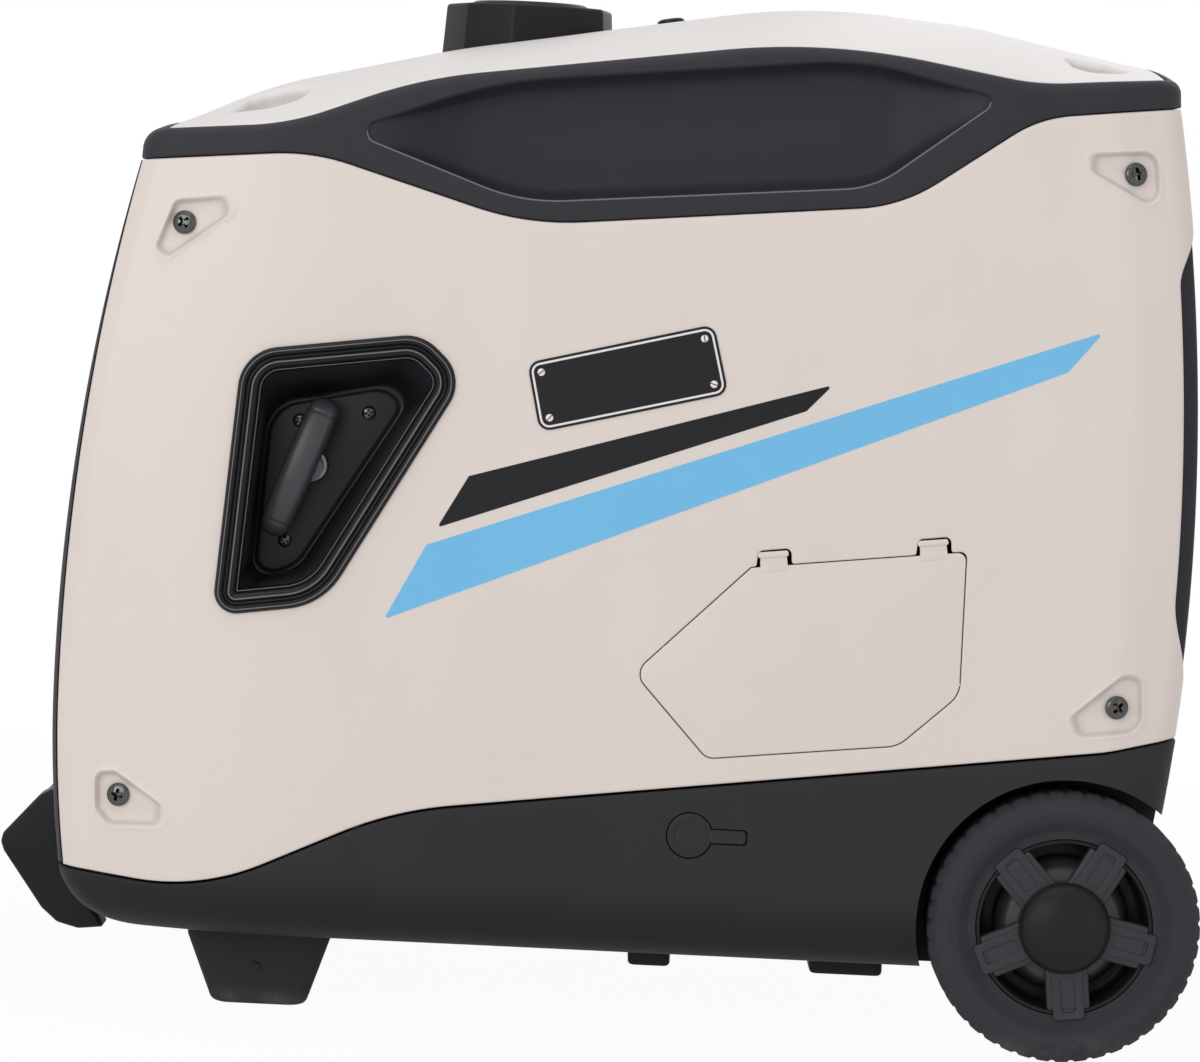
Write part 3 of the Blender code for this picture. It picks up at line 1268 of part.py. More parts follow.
def engine():
    along_x = aim((0, 0, CRANK_Z), (1, 0, 0))
    half = CASE_HALF_WIDTH
    profile = ((-half + 0.01, 0.098), (half - 0.01, 0.098), (half, 0.140), (half, 0.250), (0.055, 0.290),
               (-0.055, 0.290), (-half, 0.250), (-half, 0.140))
    case = loft("crankcase", [[(x, y, z) for y, z in profile] for x in CASE_X], ALLOY)
    floor = BASE_BOTTOM + WALL + GAP
    rails = []
    for side in (-1, 1):
        y0, y1 = sorted((side * 0.050, side * 0.072))
        rails.append(block_shape((CASE_X[0] - 0.012, y0, floor), (CASE_X[1] + 0.012, y1, 0.105)))
    join(case, gathered("add_engine_feet", rails))
    subtract(case, rod("cut_crank_bore", (-0.08, 0, CRANK_Z), (0.075, 0, CRANK_Z), CRANK_RADIUS + GAP))

    rod("crankshaft", (-0.138, 0, CRANK_Z), (0.074, 0, CRANK_Z), CRANK_RADIUS, STEEL)

    x0, x1 = ROTOR_X
    bore = CRANK_RADIUS + GAP
    rotor_bore = ROTOR_RADIUS - 0.007
    rotor_profile = ((bore, x0), (ROTOR_RADIUS, x0), (ROTOR_RADIUS, x1), (rotor_bore, x1),
                     (rotor_bore, x0 + 0.008), (0.028, x0 + 0.008), (0.028, x0 + 0.016), (bore, x0 + 0.016))
    turned("flywheel_rotor", rotor_profile, along_x, 16, STEEL)

    teeth = rotor_bore - 0.002

    def tooth(index, step, radius):
        return radius - 0.014 if index in (1, 2) and step % 3 == 0 else radius

    inner = 0.036
    case_face = CASE_X[0] - GAP
    stator_profile = ((inner, x0 + 0.014), (teeth, x0 + 0.014), (teeth, x1 - 0.002),
                      (inner + 0.012, x1 - 0.002), (inner + 0.012, case_face), (inner, case_face))
    turned("stator", stator_profile, along_x, 18, COPPER, tooth)

    outer = SHROUD_RADIUS
    pin = 0.0055
    shroud_profile = ((0, SHROUD_X), (outer - 0.020, SHROUD_X), (outer, SHROUD_X + 0.020), (outer, case_face),
                      (outer - WALL, case_face), (outer - WALL, SHROUD_X + 0.022),
                      (outer - 0.022, SHROUD_X + WALL), (pin, SHROUD_X + WALL), (pin, ROPE_X + 0.010),
                      (0, ROPE_X + 0.010))
    shroud = turned("recoil_housing", shroud_profile, along_x, 16, BLACK)
    subtract(shroud, rod("cut_rope_exit", (ROPE_X, -0.01, ROPE_Z), (ROPE_X, -0.13, ROPE_Z), 0.005, None, 10))

    groove = PULLEY_RADIUS
    flange = groove + 0.007
    pulley_profile = ((pin + GAP, ROPE_X - 0.008), (flange, ROPE_X - 0.008), (flange, ROPE_X - 0.006),
                      (groove, ROPE_X - 0.003), (groove, ROPE_X + 0.003), (flange, ROPE_X + 0.006),
                      (flange, ROPE_X + 0.008), (pin + GAP, ROPE_X + 0.008))
    pulley = turned("recoil_pulley", pulley_profile, along_x, 16, GREY)
    pivot(pulley, (ROPE_X, 0, CRANK_Z))

    up = aim((CYLINDER_X, 0, 0), (0, 0, 1))
    low, high = CYLINDER_Z
    fins = [(0, low)]
    count = 3
    pitch = (high - low) / count
    for k in range(count):
        z = low + pitch * k
        root = CYLINDER_RADIUS - 0.010
        fins += [(root, z + (0 if k == 0 else 0.0005)), (root, z + pitch * 0.6),
                 (CYLINDER_RADIUS, z + pitch * 0.65), (CYLINDER_RADIUS, z + pitch - 0.0005)]
    fins += [(0, high)]
    turned("cylinder", fins, up, 12, ALLOY)
    head_low = (CYLINDER_X - 0.050, -0.045, high + GAP)
    block("cylinder_head", head_low, (CYLINDER_X + 0.050, 0.045, HEAD_TOP), ALLOY)

    carb_y = -CYLINDER_RADIUS - GAP
    carb_low = (CYLINDER_X - 0.018, carb_y - 0.046, 0.302)
    carb = block("carburettor", carb_low, (CYLINDER_X + 0.018, carb_y, 0.340), ALLOY)
    bowl_ends = [(CYLINDER_X, carb_y - 0.026, z) for z in (0.292, 0.305)]
    join(carb, rod("add_float_bowl", *bowl_ends, 0.015, None, 14))
    block("air_cleaner", (0.045, 0.036 - HALF_WIDTH, 0.162), (0.165, -half - GAP, 0.262), BLACK)

    y, z = TAILPIPE
    muffler_loops = []
    for x, less in ((0.175, 0.012), (0.187, 0.0), (0.262, 0.0), (0.274, 0.012)):
        corners = inset([(-0.080, 0.205), (0.105, 0.205), (0.105, 0.365), (-0.080, 0.365)], less)
        muffler_loops.append([(x, a, b) for a, b in rounded(corners, [0.03] * 4, 2)])
    muffler = loft("muffler", muffler_loops, STEEL)
    join(muffler, rod("add_tailpipe", (0.26, y, z), (0.308, y, z), TAILPIPE_RADIUS, None, 16))
    exhaust = [(x, 0.02, 0.3585) for x in (CYLINDER_X + 0.050 + GAP, 0.20)]
    join(muffler, rod("add_exhaust_pipe", *exhaust, 0.012, None, 12))
    subtract(muffler, rod("cut_tailpipe", (0.268, y, z), (0.33, y, z), TAILPIPE_RADIUS - 0.003, None, 16))

    inverter = block("inverter_module", (-0.230, -0.075, floor), (-0.180, 0.075, 0.190), ALLOY)
    gaps = []
    for k in range(9):
        y = -0.066 + 0.015 * k
        gaps.append(block_shape((-0.195, y, 0.05), (-0.17, y + 0.006, 0.2)))
    subtract(inverter, gathered("cut_inverter_fins", gaps))
    battery_low = (-0.100, TUBE_Y + TUBE_RADIUS + 0.009, floor)
    block("battery", battery_low, (0.030, HALF_WIDTH - 0.038, 0.150), BLACK)


base_tray()
base_plug()
starter_side_panel()
far_side_panel()
service_door()
recoil_bezel()
recoil_grip()
starter_rope()
top_frame()
top_cover()
front_panel()
rear_panel()
control_panel()
wheel("near", -1)
wheel("far", 1)
axle()
foot("near", -1)
foot("far", 1)
pull_handle()
fuel_system()
engine()
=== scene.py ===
"""Looks of the wheeled inverter generator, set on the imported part.

Metres, +Z up. The starter side faces -Y, the control panel faces -X and the wheels are at +X.
The near side is the one at -Y, and side numbers are -1 for near and +1 for far.
"""

import math

import bmesh
import bpy
import numpy as np
from mathutils import Matrix, Vector
from mathutils.geometry import delaunay_2d_cdt
from mathutils.kdtree import KDTree


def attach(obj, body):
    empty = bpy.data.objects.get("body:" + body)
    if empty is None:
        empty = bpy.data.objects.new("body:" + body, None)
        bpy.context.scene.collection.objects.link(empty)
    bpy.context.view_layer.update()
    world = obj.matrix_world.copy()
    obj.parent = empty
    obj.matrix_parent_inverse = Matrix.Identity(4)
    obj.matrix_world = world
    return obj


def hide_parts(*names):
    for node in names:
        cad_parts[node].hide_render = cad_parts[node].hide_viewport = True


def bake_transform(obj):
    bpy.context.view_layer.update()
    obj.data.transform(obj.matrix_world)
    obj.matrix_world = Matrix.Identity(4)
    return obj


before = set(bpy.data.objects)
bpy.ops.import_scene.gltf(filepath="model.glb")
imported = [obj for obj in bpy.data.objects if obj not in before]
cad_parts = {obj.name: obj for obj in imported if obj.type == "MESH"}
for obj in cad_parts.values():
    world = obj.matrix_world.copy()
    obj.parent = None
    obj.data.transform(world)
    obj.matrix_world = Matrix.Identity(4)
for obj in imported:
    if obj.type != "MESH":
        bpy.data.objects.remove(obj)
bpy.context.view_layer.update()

# ---------------------------------------------------------------- sizes, as in the part

SEAM = 0.0006  # half of a visible joint between two mouldings
WALL = 0.003
GAP = 0.0003

HALF_WIDTH = 0.208
FRONT_X, FRONT_Z, FRONT_LEAN, FRONT_TUCK = -0.283, 0.165, 0.465, 0.80
REAR_X, REAR_Z, REAR_LEAN, REAR_TUCK = 0.303, 0.275, 0.41, 0.48
CORNER_RADIUS = 0.012
EDGE_BACK, EDGE_LEAN, EDGE_REAR = 0.0035, 0.43, 0.0005
REAR_SUNK = 0.0015
FRONT_ROLL_X, FRONT_ROLL_IN = -0.165, 0.024
REAR_CREASE, REAR_CREASE_SLOPE, CREASE_SOFT = 0.036, 0.36, 0.0035
TUMBLE_Z, TUMBLE_RISE, TUMBLE_IN = 0.250, 0.240, 0.008

# Joint lines of the housing, seen from the side: corners (x, z) and their rounding radii
BASE_SEAM = ((-0.290, 0.0765), (-0.200, 0.068), (-0.103, 0.1135), (0.260, 0.1605), (0.310, 0.171))
BASE_SEAM_RADII = (0, 0.127, 0.193, 0.200, 0)
BAND_LOW = ((-0.300, 0.4359), (-0.159, 0.4484), (-0.048, 0.4164), (0.1413, 0.4347), (0.2095, 0.4827),
            (0.310, 0.4943))
BAND_LOW_RADII = (0, 0.107, 0.147, 0.083, 0.063, 0)
BAND_TOP = ((-0.300, 0.4512), (-0.172, 0.4618), (-0.105, 0.488), (0.100, 0.517), (0.208, 0.4995),
            (0.310, 0.508))
BAND_TOP_RADII = (0, 0.137, 0.257, 0.493, 0.122, 0)
CROWN = ((-0.300, 0.4280), (-0.195, 0.4862), (-0.090, 0.511), (0.095, 0.543), (0.185, 0.5355),
         (0.310, 0.5093))
CROWN_RADII = (0, 0.200, 0.620, 0.625, 0.130, 0)
HOLD_LOW = ((-0.131, 0.4558), (-0.0514, 0.4275), (0.1266, 0.4433), (0.1835, 0.4867))
HOLD_TOP = ((-0.131, 0.4628), (-0.068, 0.487), (0.118, 0.507), (0.1835, 0.4917))
HOLD_RADII = (0.012, 0.100, 0.052, 0.012, 0.012, 0.147, 0.229, 0.012)
HOLD_DEPTH, HOLD_RAMP = 0.018, 0.050
BAND_ROUND, FRONT_ROUND = 0.007, 0.0115
SCALLOP_IN, SCALLOP_Z = 0.010, (0.195, 0.240, 0.400, 0.430)

BASE_BOTTOM, BASE_ROLL = 0.0422, 0.034
PAD_SPANS = ((0.021, 0.043), (0.116, 0.154))
PAD_DROP = 0.0092
PAD_Y = (HALF_WIDTH - 0.080, HALF_WIDTH - 0.048)

WHEEL_X, TYRE_RADIUS, TYRE_BORE = 0.243, 0.070, 0.0455
TYRE_FACES = (HALF_WIDTH - 0.041, HALF_WIDTH + 0.005)
ARCH_CLEARANCE, WELL_FACE = 0.006, HALF_WIDTH - 0.050
HUB_FACE, RIM, BOWL_DEPTH, DRUM_RADIUS = HALF_WIDTH, 0.002, 0.026, 0.034
SPOKES, SPOKE_WIDTH, SPOKE_THICK, SPOKE_LEAN = 5, 0.022, 0.0065, math.radians(6)
TOE_WIDTH, TOE_REACH, TOE_THICK = 0.016, 0.0475, 0.0012
AXLE_RADIUS = 0.006
HUB_CAP_RADIUS, HUB_CAP_FACE = 0.0235, HUB_FACE + 0.012

FOOT_BOTTOM, FOOT_TOP, FOOT_TAPER = (-0.197, -0.148), (-0.211, -0.136), 0.004
FOOT_Y = (HALF_WIDTH - 0.104, HALF_WIDTH - 0.062)
FOOT_LEVEL = BASE_BOTTOM - 0.006

RECESS = ((-0.190, 0.3453), (-0.099, 0.358), (-0.076, 0.337), (-0.1436, 0.2178), (-0.200, 0.2095))
RECESS_RADII = (0.022, 0.022, 0.019, 0.036, 0.011)
RECESS_FLOOR_Y = 0.051 - HALF_WIDTH
ROPE_X, ROPE_Z, ROPE_RADIUS = -0.155, 0.286, 0.0022
PULL_THICK = 0.0150
PULL_FACE_Y = 0.019 - HALF_WIDTH

DOOR = ((0.074, 0.247), (0.183, 0.260), (0.183, 0.187), (0.153, 0.1595), (0.056, 0.1485), (0.017, 0.1905))
DOOR_RADII = (0.002, 0.004, 0.014, 0.016, 0.008, 0.008)
DOOR_TABS, TAB_WIDTH, TAB_RISE = (0.0855, 0.1665), 0.017, 0.008
DOOR_GAP = 0.0005

# Screw seats: corners (x, z), their rounding radii and the screw's place
SEATS = {
    "front_top": (((-0.2282, 0.4205), (-0.2010, 0.4237), (-0.1982, 0.4146), (-0.2313, 0.3896),
                   (-0.2380, 0.3944)),
                  (0.0055, 0.0040, 0.0040, 0.0045, 0.0050), (-0.223, 0.409)),
    "rear_top": (((0.2350, 0.4656), (0.2714, 0.4686), (0.2740, 0.4365), (0.2361, 0.4561)),
                 (0.0042, 0.0080, 0.0064, 0.0042), (0.260, 0.456)),
    "front_low": (((-0.2579, 0.1257), (-0.2470, 0.1267), (-0.2208, 0.1103), (-0.2211, 0.0992),
                   (-0.2496, 0.0976),
                   (-0.2569, 0.1058)), (0.0055, 0.0066, 0.0050, 0.0044, 0.0077, 0.0066), (-0.245, 0.114)),
    "rear_low": (((0.2393, 0.1781), (0.2665, 0.2018), (0.2766, 0.2005), (0.2786, 0.1715), (0.2434, 0.1670)),
                 (0.0046, 0.0076, 0.0050, 0.0095, 0.0050), (0.264, 0.184)),
}
SEAT_DEPTH, SCREW_RADIUS = 0.0045, 0.006

PLUG, PLUG_RADIUS, PLUG_TAB_X, PLUG_TAB = (0.049, 0.1085), 0.0115, 0.078, 0.0035

TUBE_Y, LEG_WIDTH = 0.095, 0.026
LEG = ((-0.287, 0.106), (-0.296, 0.101), (-0.3145, 0.080), (-0.3155, 0.0755), (-0.3138, 0.0705),
       (-0.2925, 0.0408), (-0.284, 0.0335), (-0.2725, 0.0305), (-0.259, 0.032), (-0.262, 0.038),
       (-0.270, 0.047), (-0.278, 0.060), (-0.2825, 0.080), (-0.284, 0.104))
CROSSBAR = ((-0.302, 0.0925), (-0.3145, 0.080), (-0.3155, 0.0755), (-0.3138, 0.0705), (-0.3015, 0.0535),
            (-0.2955, 0.060), (-0.2965, 0.089))

CAP_X, CAP_RADIUS, CAP_DRAFT, CAP_LOBES, CAP_TURN = -0.056, 0.0455, 0.002, 10, math.radians(-100)
CAP_PROUD, CAP_HEIGHT, CAP_HOLLOW = 0.01862, 0.0305, 0.012
KNOB_RADIUS, KNOB_FOOT, KNOB_RISE = 0.030, 0.0338, 0.0022
WELL_RADIUS, WELL_GAP, NECK_RADIUS = 0.053, 0.003, 0.030
GAUGE_X, GAUGE_RADIUS, GAUGE_STEM = 0.022, 0.0075, 0.005
# Dimples in the cover: corners (x, distance from the middle) and the deepest place
LID_DIMPLES = (
    (((-0.2075, 0.153), (-0.185, 0.1585), (-0.170, 0.148), (-0.163, 0.113), (-0.186, 0.088), (-0.200, 0.103)),
     (-0.186, 0.142)),
    (((0.2265, 0.120), (0.2295, 0.152), (0.2385, 0.1665), (0.2515, 0.165), (0.261, 0.149), (0.246, 0.126),
      (0.233, 0.1165)), (0.2435, 0.151)),
)

FASCIA_Z, FASCIA_HALF, FASCIA_FACE, FASCIA_BACK, FASCIA_RIM = 0.335, (0.150, 0.092), -0.012, -0.020, 0.006
FASCIA_LEAN = math.atan(2 * FRONT_LEAN * (FASCIA_Z - FRONT_Z))
TAILPIPE, TAILPIPE_RADIUS = (0.050, 0.240), 0.018
REAR_SLOTS, REAR_SLOT_LOW, REAR_SLOT_PITCH, REAR_SLOT_TALL, REAR_SLOT_HALF = 9, 0.320, 0.016, 0.008, 0.130
INTAKE_SLOTS, INTAKE_X, INTAKE_PITCH, INTAKE_Z = 9, -0.190, 0.017, (0.190, 0.330)

# Printed stripes and the bare plate on the near panel, corners (x, z)
DARK_STRIPE = ((-0.072, 0.287), (0.111, 0.342), (0.098, 0.328), (-0.087, 0.260))
BLUE_STRIPE = ((-0.092, 0.251), (0.247, 0.375), (0.230, 0.354), (-0.112, 0.212))
PLATE = ((-0.045, 0.346), (0.049, 0.370), (0.058, 0.335), (-0.037, 0.311))
PLATE_RADIUS = 0.006

# ---------------------------------------------------------------- flat outlines and shapes


def rounded(corners, radii, steps=10, closed=True, fill=1):
    """Corners replaced by arcs of the given radii, with fill equal parts on each straight run."""
    arcs = []
    for i, radius in enumerate(radii):
        here = np.array(corners[i], float)
        if radius <= 0 or (not closed and i in (0, len(corners) - 1)):
            arcs.append([here])
            continue
        back = np.array(corners[i - 1], float) - here
        ahead = np.array(corners[(i + 1) % len(corners)], float) - here
        back_length, ahead_length = np.linalg.norm(back), np.linalg.norm(ahead)
        turn = math.pi - math.acos(np.clip(back @ ahead / back_length / ahead_length, -1, 1))
        reach = min(radius * math.tan(turn / 2), 0.49 * back_length, 0.49 * ahead_length)
        start = here + back / back_length * reach
        end = here + ahead / ahead_length * reach
        weight = math.cos(turn / 2)
        arc = []
        for t in np.linspace(0, 1, steps + 1):
            a, b, c = (1 - t) ** 2, 2 * t * (1 - t) * weight, t * t
            arc.append((start * a + here * b + end * c) / (a + b + c))
        arcs.append(arc)
    outline = []
    for i, arc in enumerate(arcs):
        outline.extend(arc)
        if closed or i < len(arcs) - 1:
            after = arcs[(i + 1) % len(arcs)][0]
            outline.extend(arc[-1] + (after - arc[-1]) * k / fill for k in range(1, fill))
    return np.array(outline)


def inset(corners, distance):
    """The corners of a polygon whose edges all move inwards by distance, or outwards if it is negative."""
    area = sum(a[0] * b[1] - b[0] * a[1] for a, b in zip(corners, corners[1:] + corners[:1]))
    sign = 1 if area > 0 else -1
    moved = []
    for i, here in enumerate(corners):
        edges = []
        for start, end in ((corners[i - 1], here), (here, corners[(i + 1) % len(corners)])):
            along = (Vector(end) - Vector(start)).normalized()
            inward = Vector((-along.y, along.x)) * sign
            edges.append((Vector(start) + inward * distance, along, inward))
        (p, d, _), (q, _, n) = edges
        moved.append(tuple(p + d * ((q - p).dot(n) / d.dot(n))))
    return moved


def outline_of(corners, radii, distance=0.0, steps=10, fill=1):
    """A rounded outline moved inwards by distance, with its radii changed to match."""
    changed = [max(radius - distance, 0.0008) for radius in radii]
    return rounded(inset(list(corners), distance), changed, steps, fill=fill)


def offset(loop, distance):
    """A dense closed loop moved along its own normals, outwards for a positive distance."""
    along = np.roll(loop, -1, 0) - np.roll(loop, 1, 0)
    along /= np.linalg.norm(along, axis=1)[:, None]
    area = np.sum(loop[:, 0] * np.roll(loop[:, 1], -1) - np.roll(loop[:, 0], -1) * loop[:, 1])
    outward = np.stack([along[:, 1], -along[:, 0]], 1) * np.sign(area)
    return loop + outward * distance


def circle(centre, radius, count):
    turn = np.linspace(0, math.tau, count, endpoint=False)
    return np.stack([centre[0] + radius * np.cos(turn), centre[1] + radius * np.sin(turn)], 1)


def roll(radius, steps=5):
    """Quarter round at a moulding's edge: (distance from the edge, depth) from the skin to the edge."""
    turns = np.linspace(0, math.pi / 2, steps + 1)
    return [(radius * (1 - math.sin(a)), radius * (1 - math.cos(a))) for a in turns]


def gathered_ends(count, ends=0.5):
    """Shares from 0 to 1, closer together towards both ends."""
    even = np.linspace(0, 1, count)
    return (1 - ends) * even + ends * (1 - np.cos(even * math.pi)) / 2


def enclosed(points, loops):
    """True for the points that lie inside the first loop and outside the others."""
    odd = np.zeros(len(points), bool)
    x, y = points[:, 0], points[:, 1]
    for loop in loops:
        for (x0, y0), (x1, y1) in zip(loop, np.roll(loop, -1, 0)):
            if y0 != y1:
                odd ^= ((y0 > y) != (y1 > y)) & (x < (x1 - x0) * (y - y0) / (y1 - y0) + x0)
    return odd


def clear_of(points, loops, distance):
    """The points that keep a distance from every corner of the loops."""
    rim = np.concatenate(loops)
    tree = KDTree(len(rim))
    for i, (x, y) in enumerate(rim):
        tree.insert((x, y, 0), i)
    tree.balance()
    return points[[tree.find((x, y, 0))[2] > distance for x, y in points]]


def triangulated(loops, inner, clear=0.0012):
    """Triangles over the area between an outline and its holes. The loops' points come first."""
    loops = [np.asarray(loop, np.float32).astype(float) for loop in loops]
    edges = []
    start = 0
    for loop in loops:
        count = len(loop)
        edges += [(start + i, start + (i + 1) % count) for i in range(count)]
        start += count
    inner = np.asarray(inner, np.float32).astype(float)
    flat = np.concatenate([*loops, clear_of(inner[enclosed(inner, loops)], loops, clear)])
    made = delaunay_2d_cdt([Vector(p) for p in flat], edges, [], 0, 1e-8, True)
    origin = [ids[0] for ids in made[3]]
    triangles = np.array([[origin[i] for i in face] for face in made[2]])
    kept = enclosed(flat[triangles].mean(1), loops)
    return flat, [tuple(face) for face in triangles[kept].tolist()]


class Shape:
    """Points and faces of a piece, gathered before they become a mesh."""

    def __init__(self):
        self.points = []
        self.faces = []

    def loop(self, points):
        start = len(self.points)
        self.points.extend(tuple(float(c) for c in p) for p in points)
        return list(range(start, len(self.points)))

    def bridge(self, low, high, closed=True):
        count = len(low)
        for i in range(count if closed else count - 1):
            j = (i + 1) % count
            self.faces.append((low[i], low[j], high[j], high[i]))

    def strip(self, rings, closed=True):
        for low, high in zip(rings, rings[1:]):
            self.bridge(low, high, closed)

    def cap(self, ring):
        middle = self.loop([np.mean([self.points[i] for i in ring], axis=0)])[0]
        for a, b in zip(ring, ring[1:] + ring[:1]):
            self.faces.append((a, b, middle))

    def loft(self, loops, ring=False):
        """A skin over loops of equal length, capped at both ends or closed to a ring."""
        rings = [self.loop(points) for points in loops]
        self.strip(rings + rings[:1] if ring else rings)
        if not ring:
            self.cap(rings[0])
            self.cap(rings[-1])
        return self

    def lathe(self, profile, place, steps, radius_at=None):
        """Revolves (radius, height) pairs about the Z of the matrix place. Ends on the axis are closed."""
        turns = np.linspace(0, math.tau, steps, endpoint=False)
        rings = []
        for index, (radius, height) in enumerate(profile):
            if radius <= 0:
                rings.append(self.loop([place @ Vector((0, 0, height))]) * steps)
                continue
            radii = radius_at(index, radius, height, turns) if radius_at else np.full(steps, radius)
            ring = [place @ Vector((r * math.cos(a), r * math.sin(a), height)) for r, a in zip(radii, turns)]
            rings.append(self.loop(ring))
        if profile[0][0] > 0:
            rings.append(rings[0])
        for low, high in zip(rings, rings[1:]):
            for i in range(steps):
                j = (i + 1) % steps
                corners = tuple(dict.fromkeys((low[i], low[j], high[j], high[i])))
                if len(corners) > 2:
                    self.faces.append(corners)
        return self

    def sheet(self, flat, triangles, place):
        """Adds triangulated points through place(flat) and gives their numbers."""
        numbers = self.loop(place(flat))
        self.faces.extend(tuple(numbers[i] for i in face) for face in triangles)
        return numbers

    def add(self, other):
        start = len(self.points)
        self.points.extend(other.points)
        self.faces.extend(tuple(start + i for i in face) for face in other.faces)
        return self


def aim(centre, direction):
    """A matrix at centre whose Z points along direction."""
    turn = Vector(direction).to_track_quat("Z", "Y").to_matrix().to_4x4()
    return Matrix.Translation(Vector(centre)) @ turn


def meshed(shape, name):
    """A closed mesh of the shape with outward faces."""
    work = bmesh.new()
    corners = [work.verts.new(point) for point in shape.points]
    for face in shape.faces:
        try:
            work.faces.new([corners[i] for i in face])
        except ValueError:
            continue
    bmesh.ops.remove_doubles(work, verts=work.verts, dist=1e-7)
    bmesh.ops.recalc_face_normals(work, faces=work.faces)
    mesh = bpy.data.meshes.new(name)
    work.to_mesh(mesh)
    work.free()
    return mesh


def carved(name, base, *steps):
    """The mesh of a shape after (operation, shape) steps."""
    working = bpy.data.objects.new(name, meshed(base, name))
    bpy.context.scene.collection.objects.link(working)
    helpers = []
    for operation, shape in steps:
        helper = bpy.data.objects.new("helper", shape
                                      if isinstance(shape, bpy.types.Mesh) else meshed(shape, "helper"))
        bpy.context.scene.collection.objects.link(helper)
        modifier = working.modifiers.new(operation, "BOOLEAN")
        modifier.operation = operation
        modifier.solver = "EXACT"
        modifier.object = helper
        helpers.append(helper)
    graph = bpy.context.evaluated_depsgraph_get()
    mesh = bpy.data.meshes.new_from_object(working.evaluated_get(graph))
    for used in (working, *helpers):
        bpy.data.objects.remove(used)
    mesh.name = name
    return mesh


def piece(name, form, finish, body="housing", nodes=(), sharp=35):
    """A finished piece of the object: smooth, dressed and riding on its body."""
    mesh = form if isinstance(form, bpy.types.Mesh) else meshed(form, name)
    mesh.materials.clear()
    mesh.materials.append(finish)
    mesh.shade_smooth()
    mesh.set_sharp_from_angle(angle=math.radians(sharp))
    obj = bpy.data.objects.new(name, mesh)
    bpy.context.scene.collection.objects.link(obj)
    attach(obj, body)
    if nodes:
        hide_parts(*nodes)
    return obj


# ---------------------------------------------------------------- the housing's envelope


def line(corners, radii):
    points = rounded(corners, radii, 24, closed=False)
    return points[:, 0], points[:, 1]


BASE_LINE = line(BASE_SEAM, BASE_SEAM_RADII)
LOW_LINE = line(BAND_LOW, BAND_LOW_RADII)
TOP_LINE = line(BAND_TOP, BAND_TOP_RADII)
CROWN_LINE = line(CROWN, CROWN_RADII)


def height(curve, x):
    return np.interp(x, *curve)


CAP_TOP = float(height(CROWN_LINE, CAP_X)) + CAP_PROUD
CAP_BASE = CAP_TOP - CAP_HEIGHT
KNOB_TOP = CAP_TOP + KNOB_RISE
WELL_FLOOR = CAP_BASE - WELL_GAP


def smooth(t):
    t = np.clip(t, 0, 1)
    return t * t * (3 - 2 * t)


def front_x(z):
    return FRONT_X + np.where(z > FRONT_Z, FRONT_LEAN, FRONT_TUCK) * (z - FRONT_Z) ** 2


def panel_front(z):
    """Front edge of the side panels."""
    return FRONT_X + EDGE_BACK + np.where(z > FRONT_Z, EDGE_LEAN, FRONT_TUCK) * (z - FRONT_Z) ** 2


def rear_x(z):
    return REAR_X - np.where(z > REAR_Z, REAR_LEAN, REAR_TUCK) * (z - REAR_Z) ** 2


def crease_x(z):
    return rear_x(z) - REAR_CREASE


def soft_ramp(t, soft):
    """Zero below zero and t above it, with a rounded bend."""
    bend = (t + soft) ** 2 / (4 * soft)
    return np.where(t > soft, t, np.where(t < -soft, 0.0, bend))


def half_width(x, z):
    """Distance of the housing's side skin from the middle."""
    x, z = np.asarray(x, float), np.asarray(z, float)
    drawn_in = FRONT_ROLL_IN * np.clip((FRONT_ROLL_X - x) / (FRONT_ROLL_X - FRONT_X), 0, None) ** 2
    drawn_in = drawn_in + REAR_CREASE_SLOPE * soft_ramp(x - crease_x(z), CREASE_SOFT)
    drawn_in = drawn_in + TUMBLE_IN * np.clip((z - TUMBLE_Z) / TUMBLE_RISE, 0, None) ** 2
    for past in (front_x(z) + CORNER_RADIUS - x, x - rear_x(z) + CORNER_RADIUS):
        past = np.clip(past, 0, CORNER_RADIUS)
        drawn_in = drawn_in + CORNER_RADIUS - np.sqrt(CORNER_RADIUS**2 - past**2)
    return HALF_WIDTH - drawn_in


def skin(flat, side, depth=0.0):
    """Places on a side skin for flat (x, z) points, at a depth under it."""
    x, z = np.asarray(flat)[:, 0], np.asarray(flat)[:, 1]
    return np.stack([x, side * (half_width(x, z) - depth), z], 1)


def skin_axis(x, z, side):
    step = 0.0005
    slope_x = float(half_width(x + step, z) - half_width(x - step, z)) / (2 * step)
    slope_z = float(half_width(x, z + step) - half_width(x, z - step)) / (2 * step)
    return Vector((-slope_x, side, -slope_z)).normalized()


def lid_height(x, y):
    """Height of the cover's upper surface."""
    edge = height(TOP_LINE, x)
    rise = np.clip(height(CROWN_LINE, x) - edge, 0, None)
    share = np.clip(np.abs(y) / (half_width(x, edge) - BAND_ROUND), 0, 1)
    return edge + rise * (1 - share**2)


def lid(flat, depth=0.0):
    x, y = np.asarray(flat)[:, 0], np.asarray(flat)[:, 1]
    return np.stack([x, y, lid_height(x, y) - depth], 1)


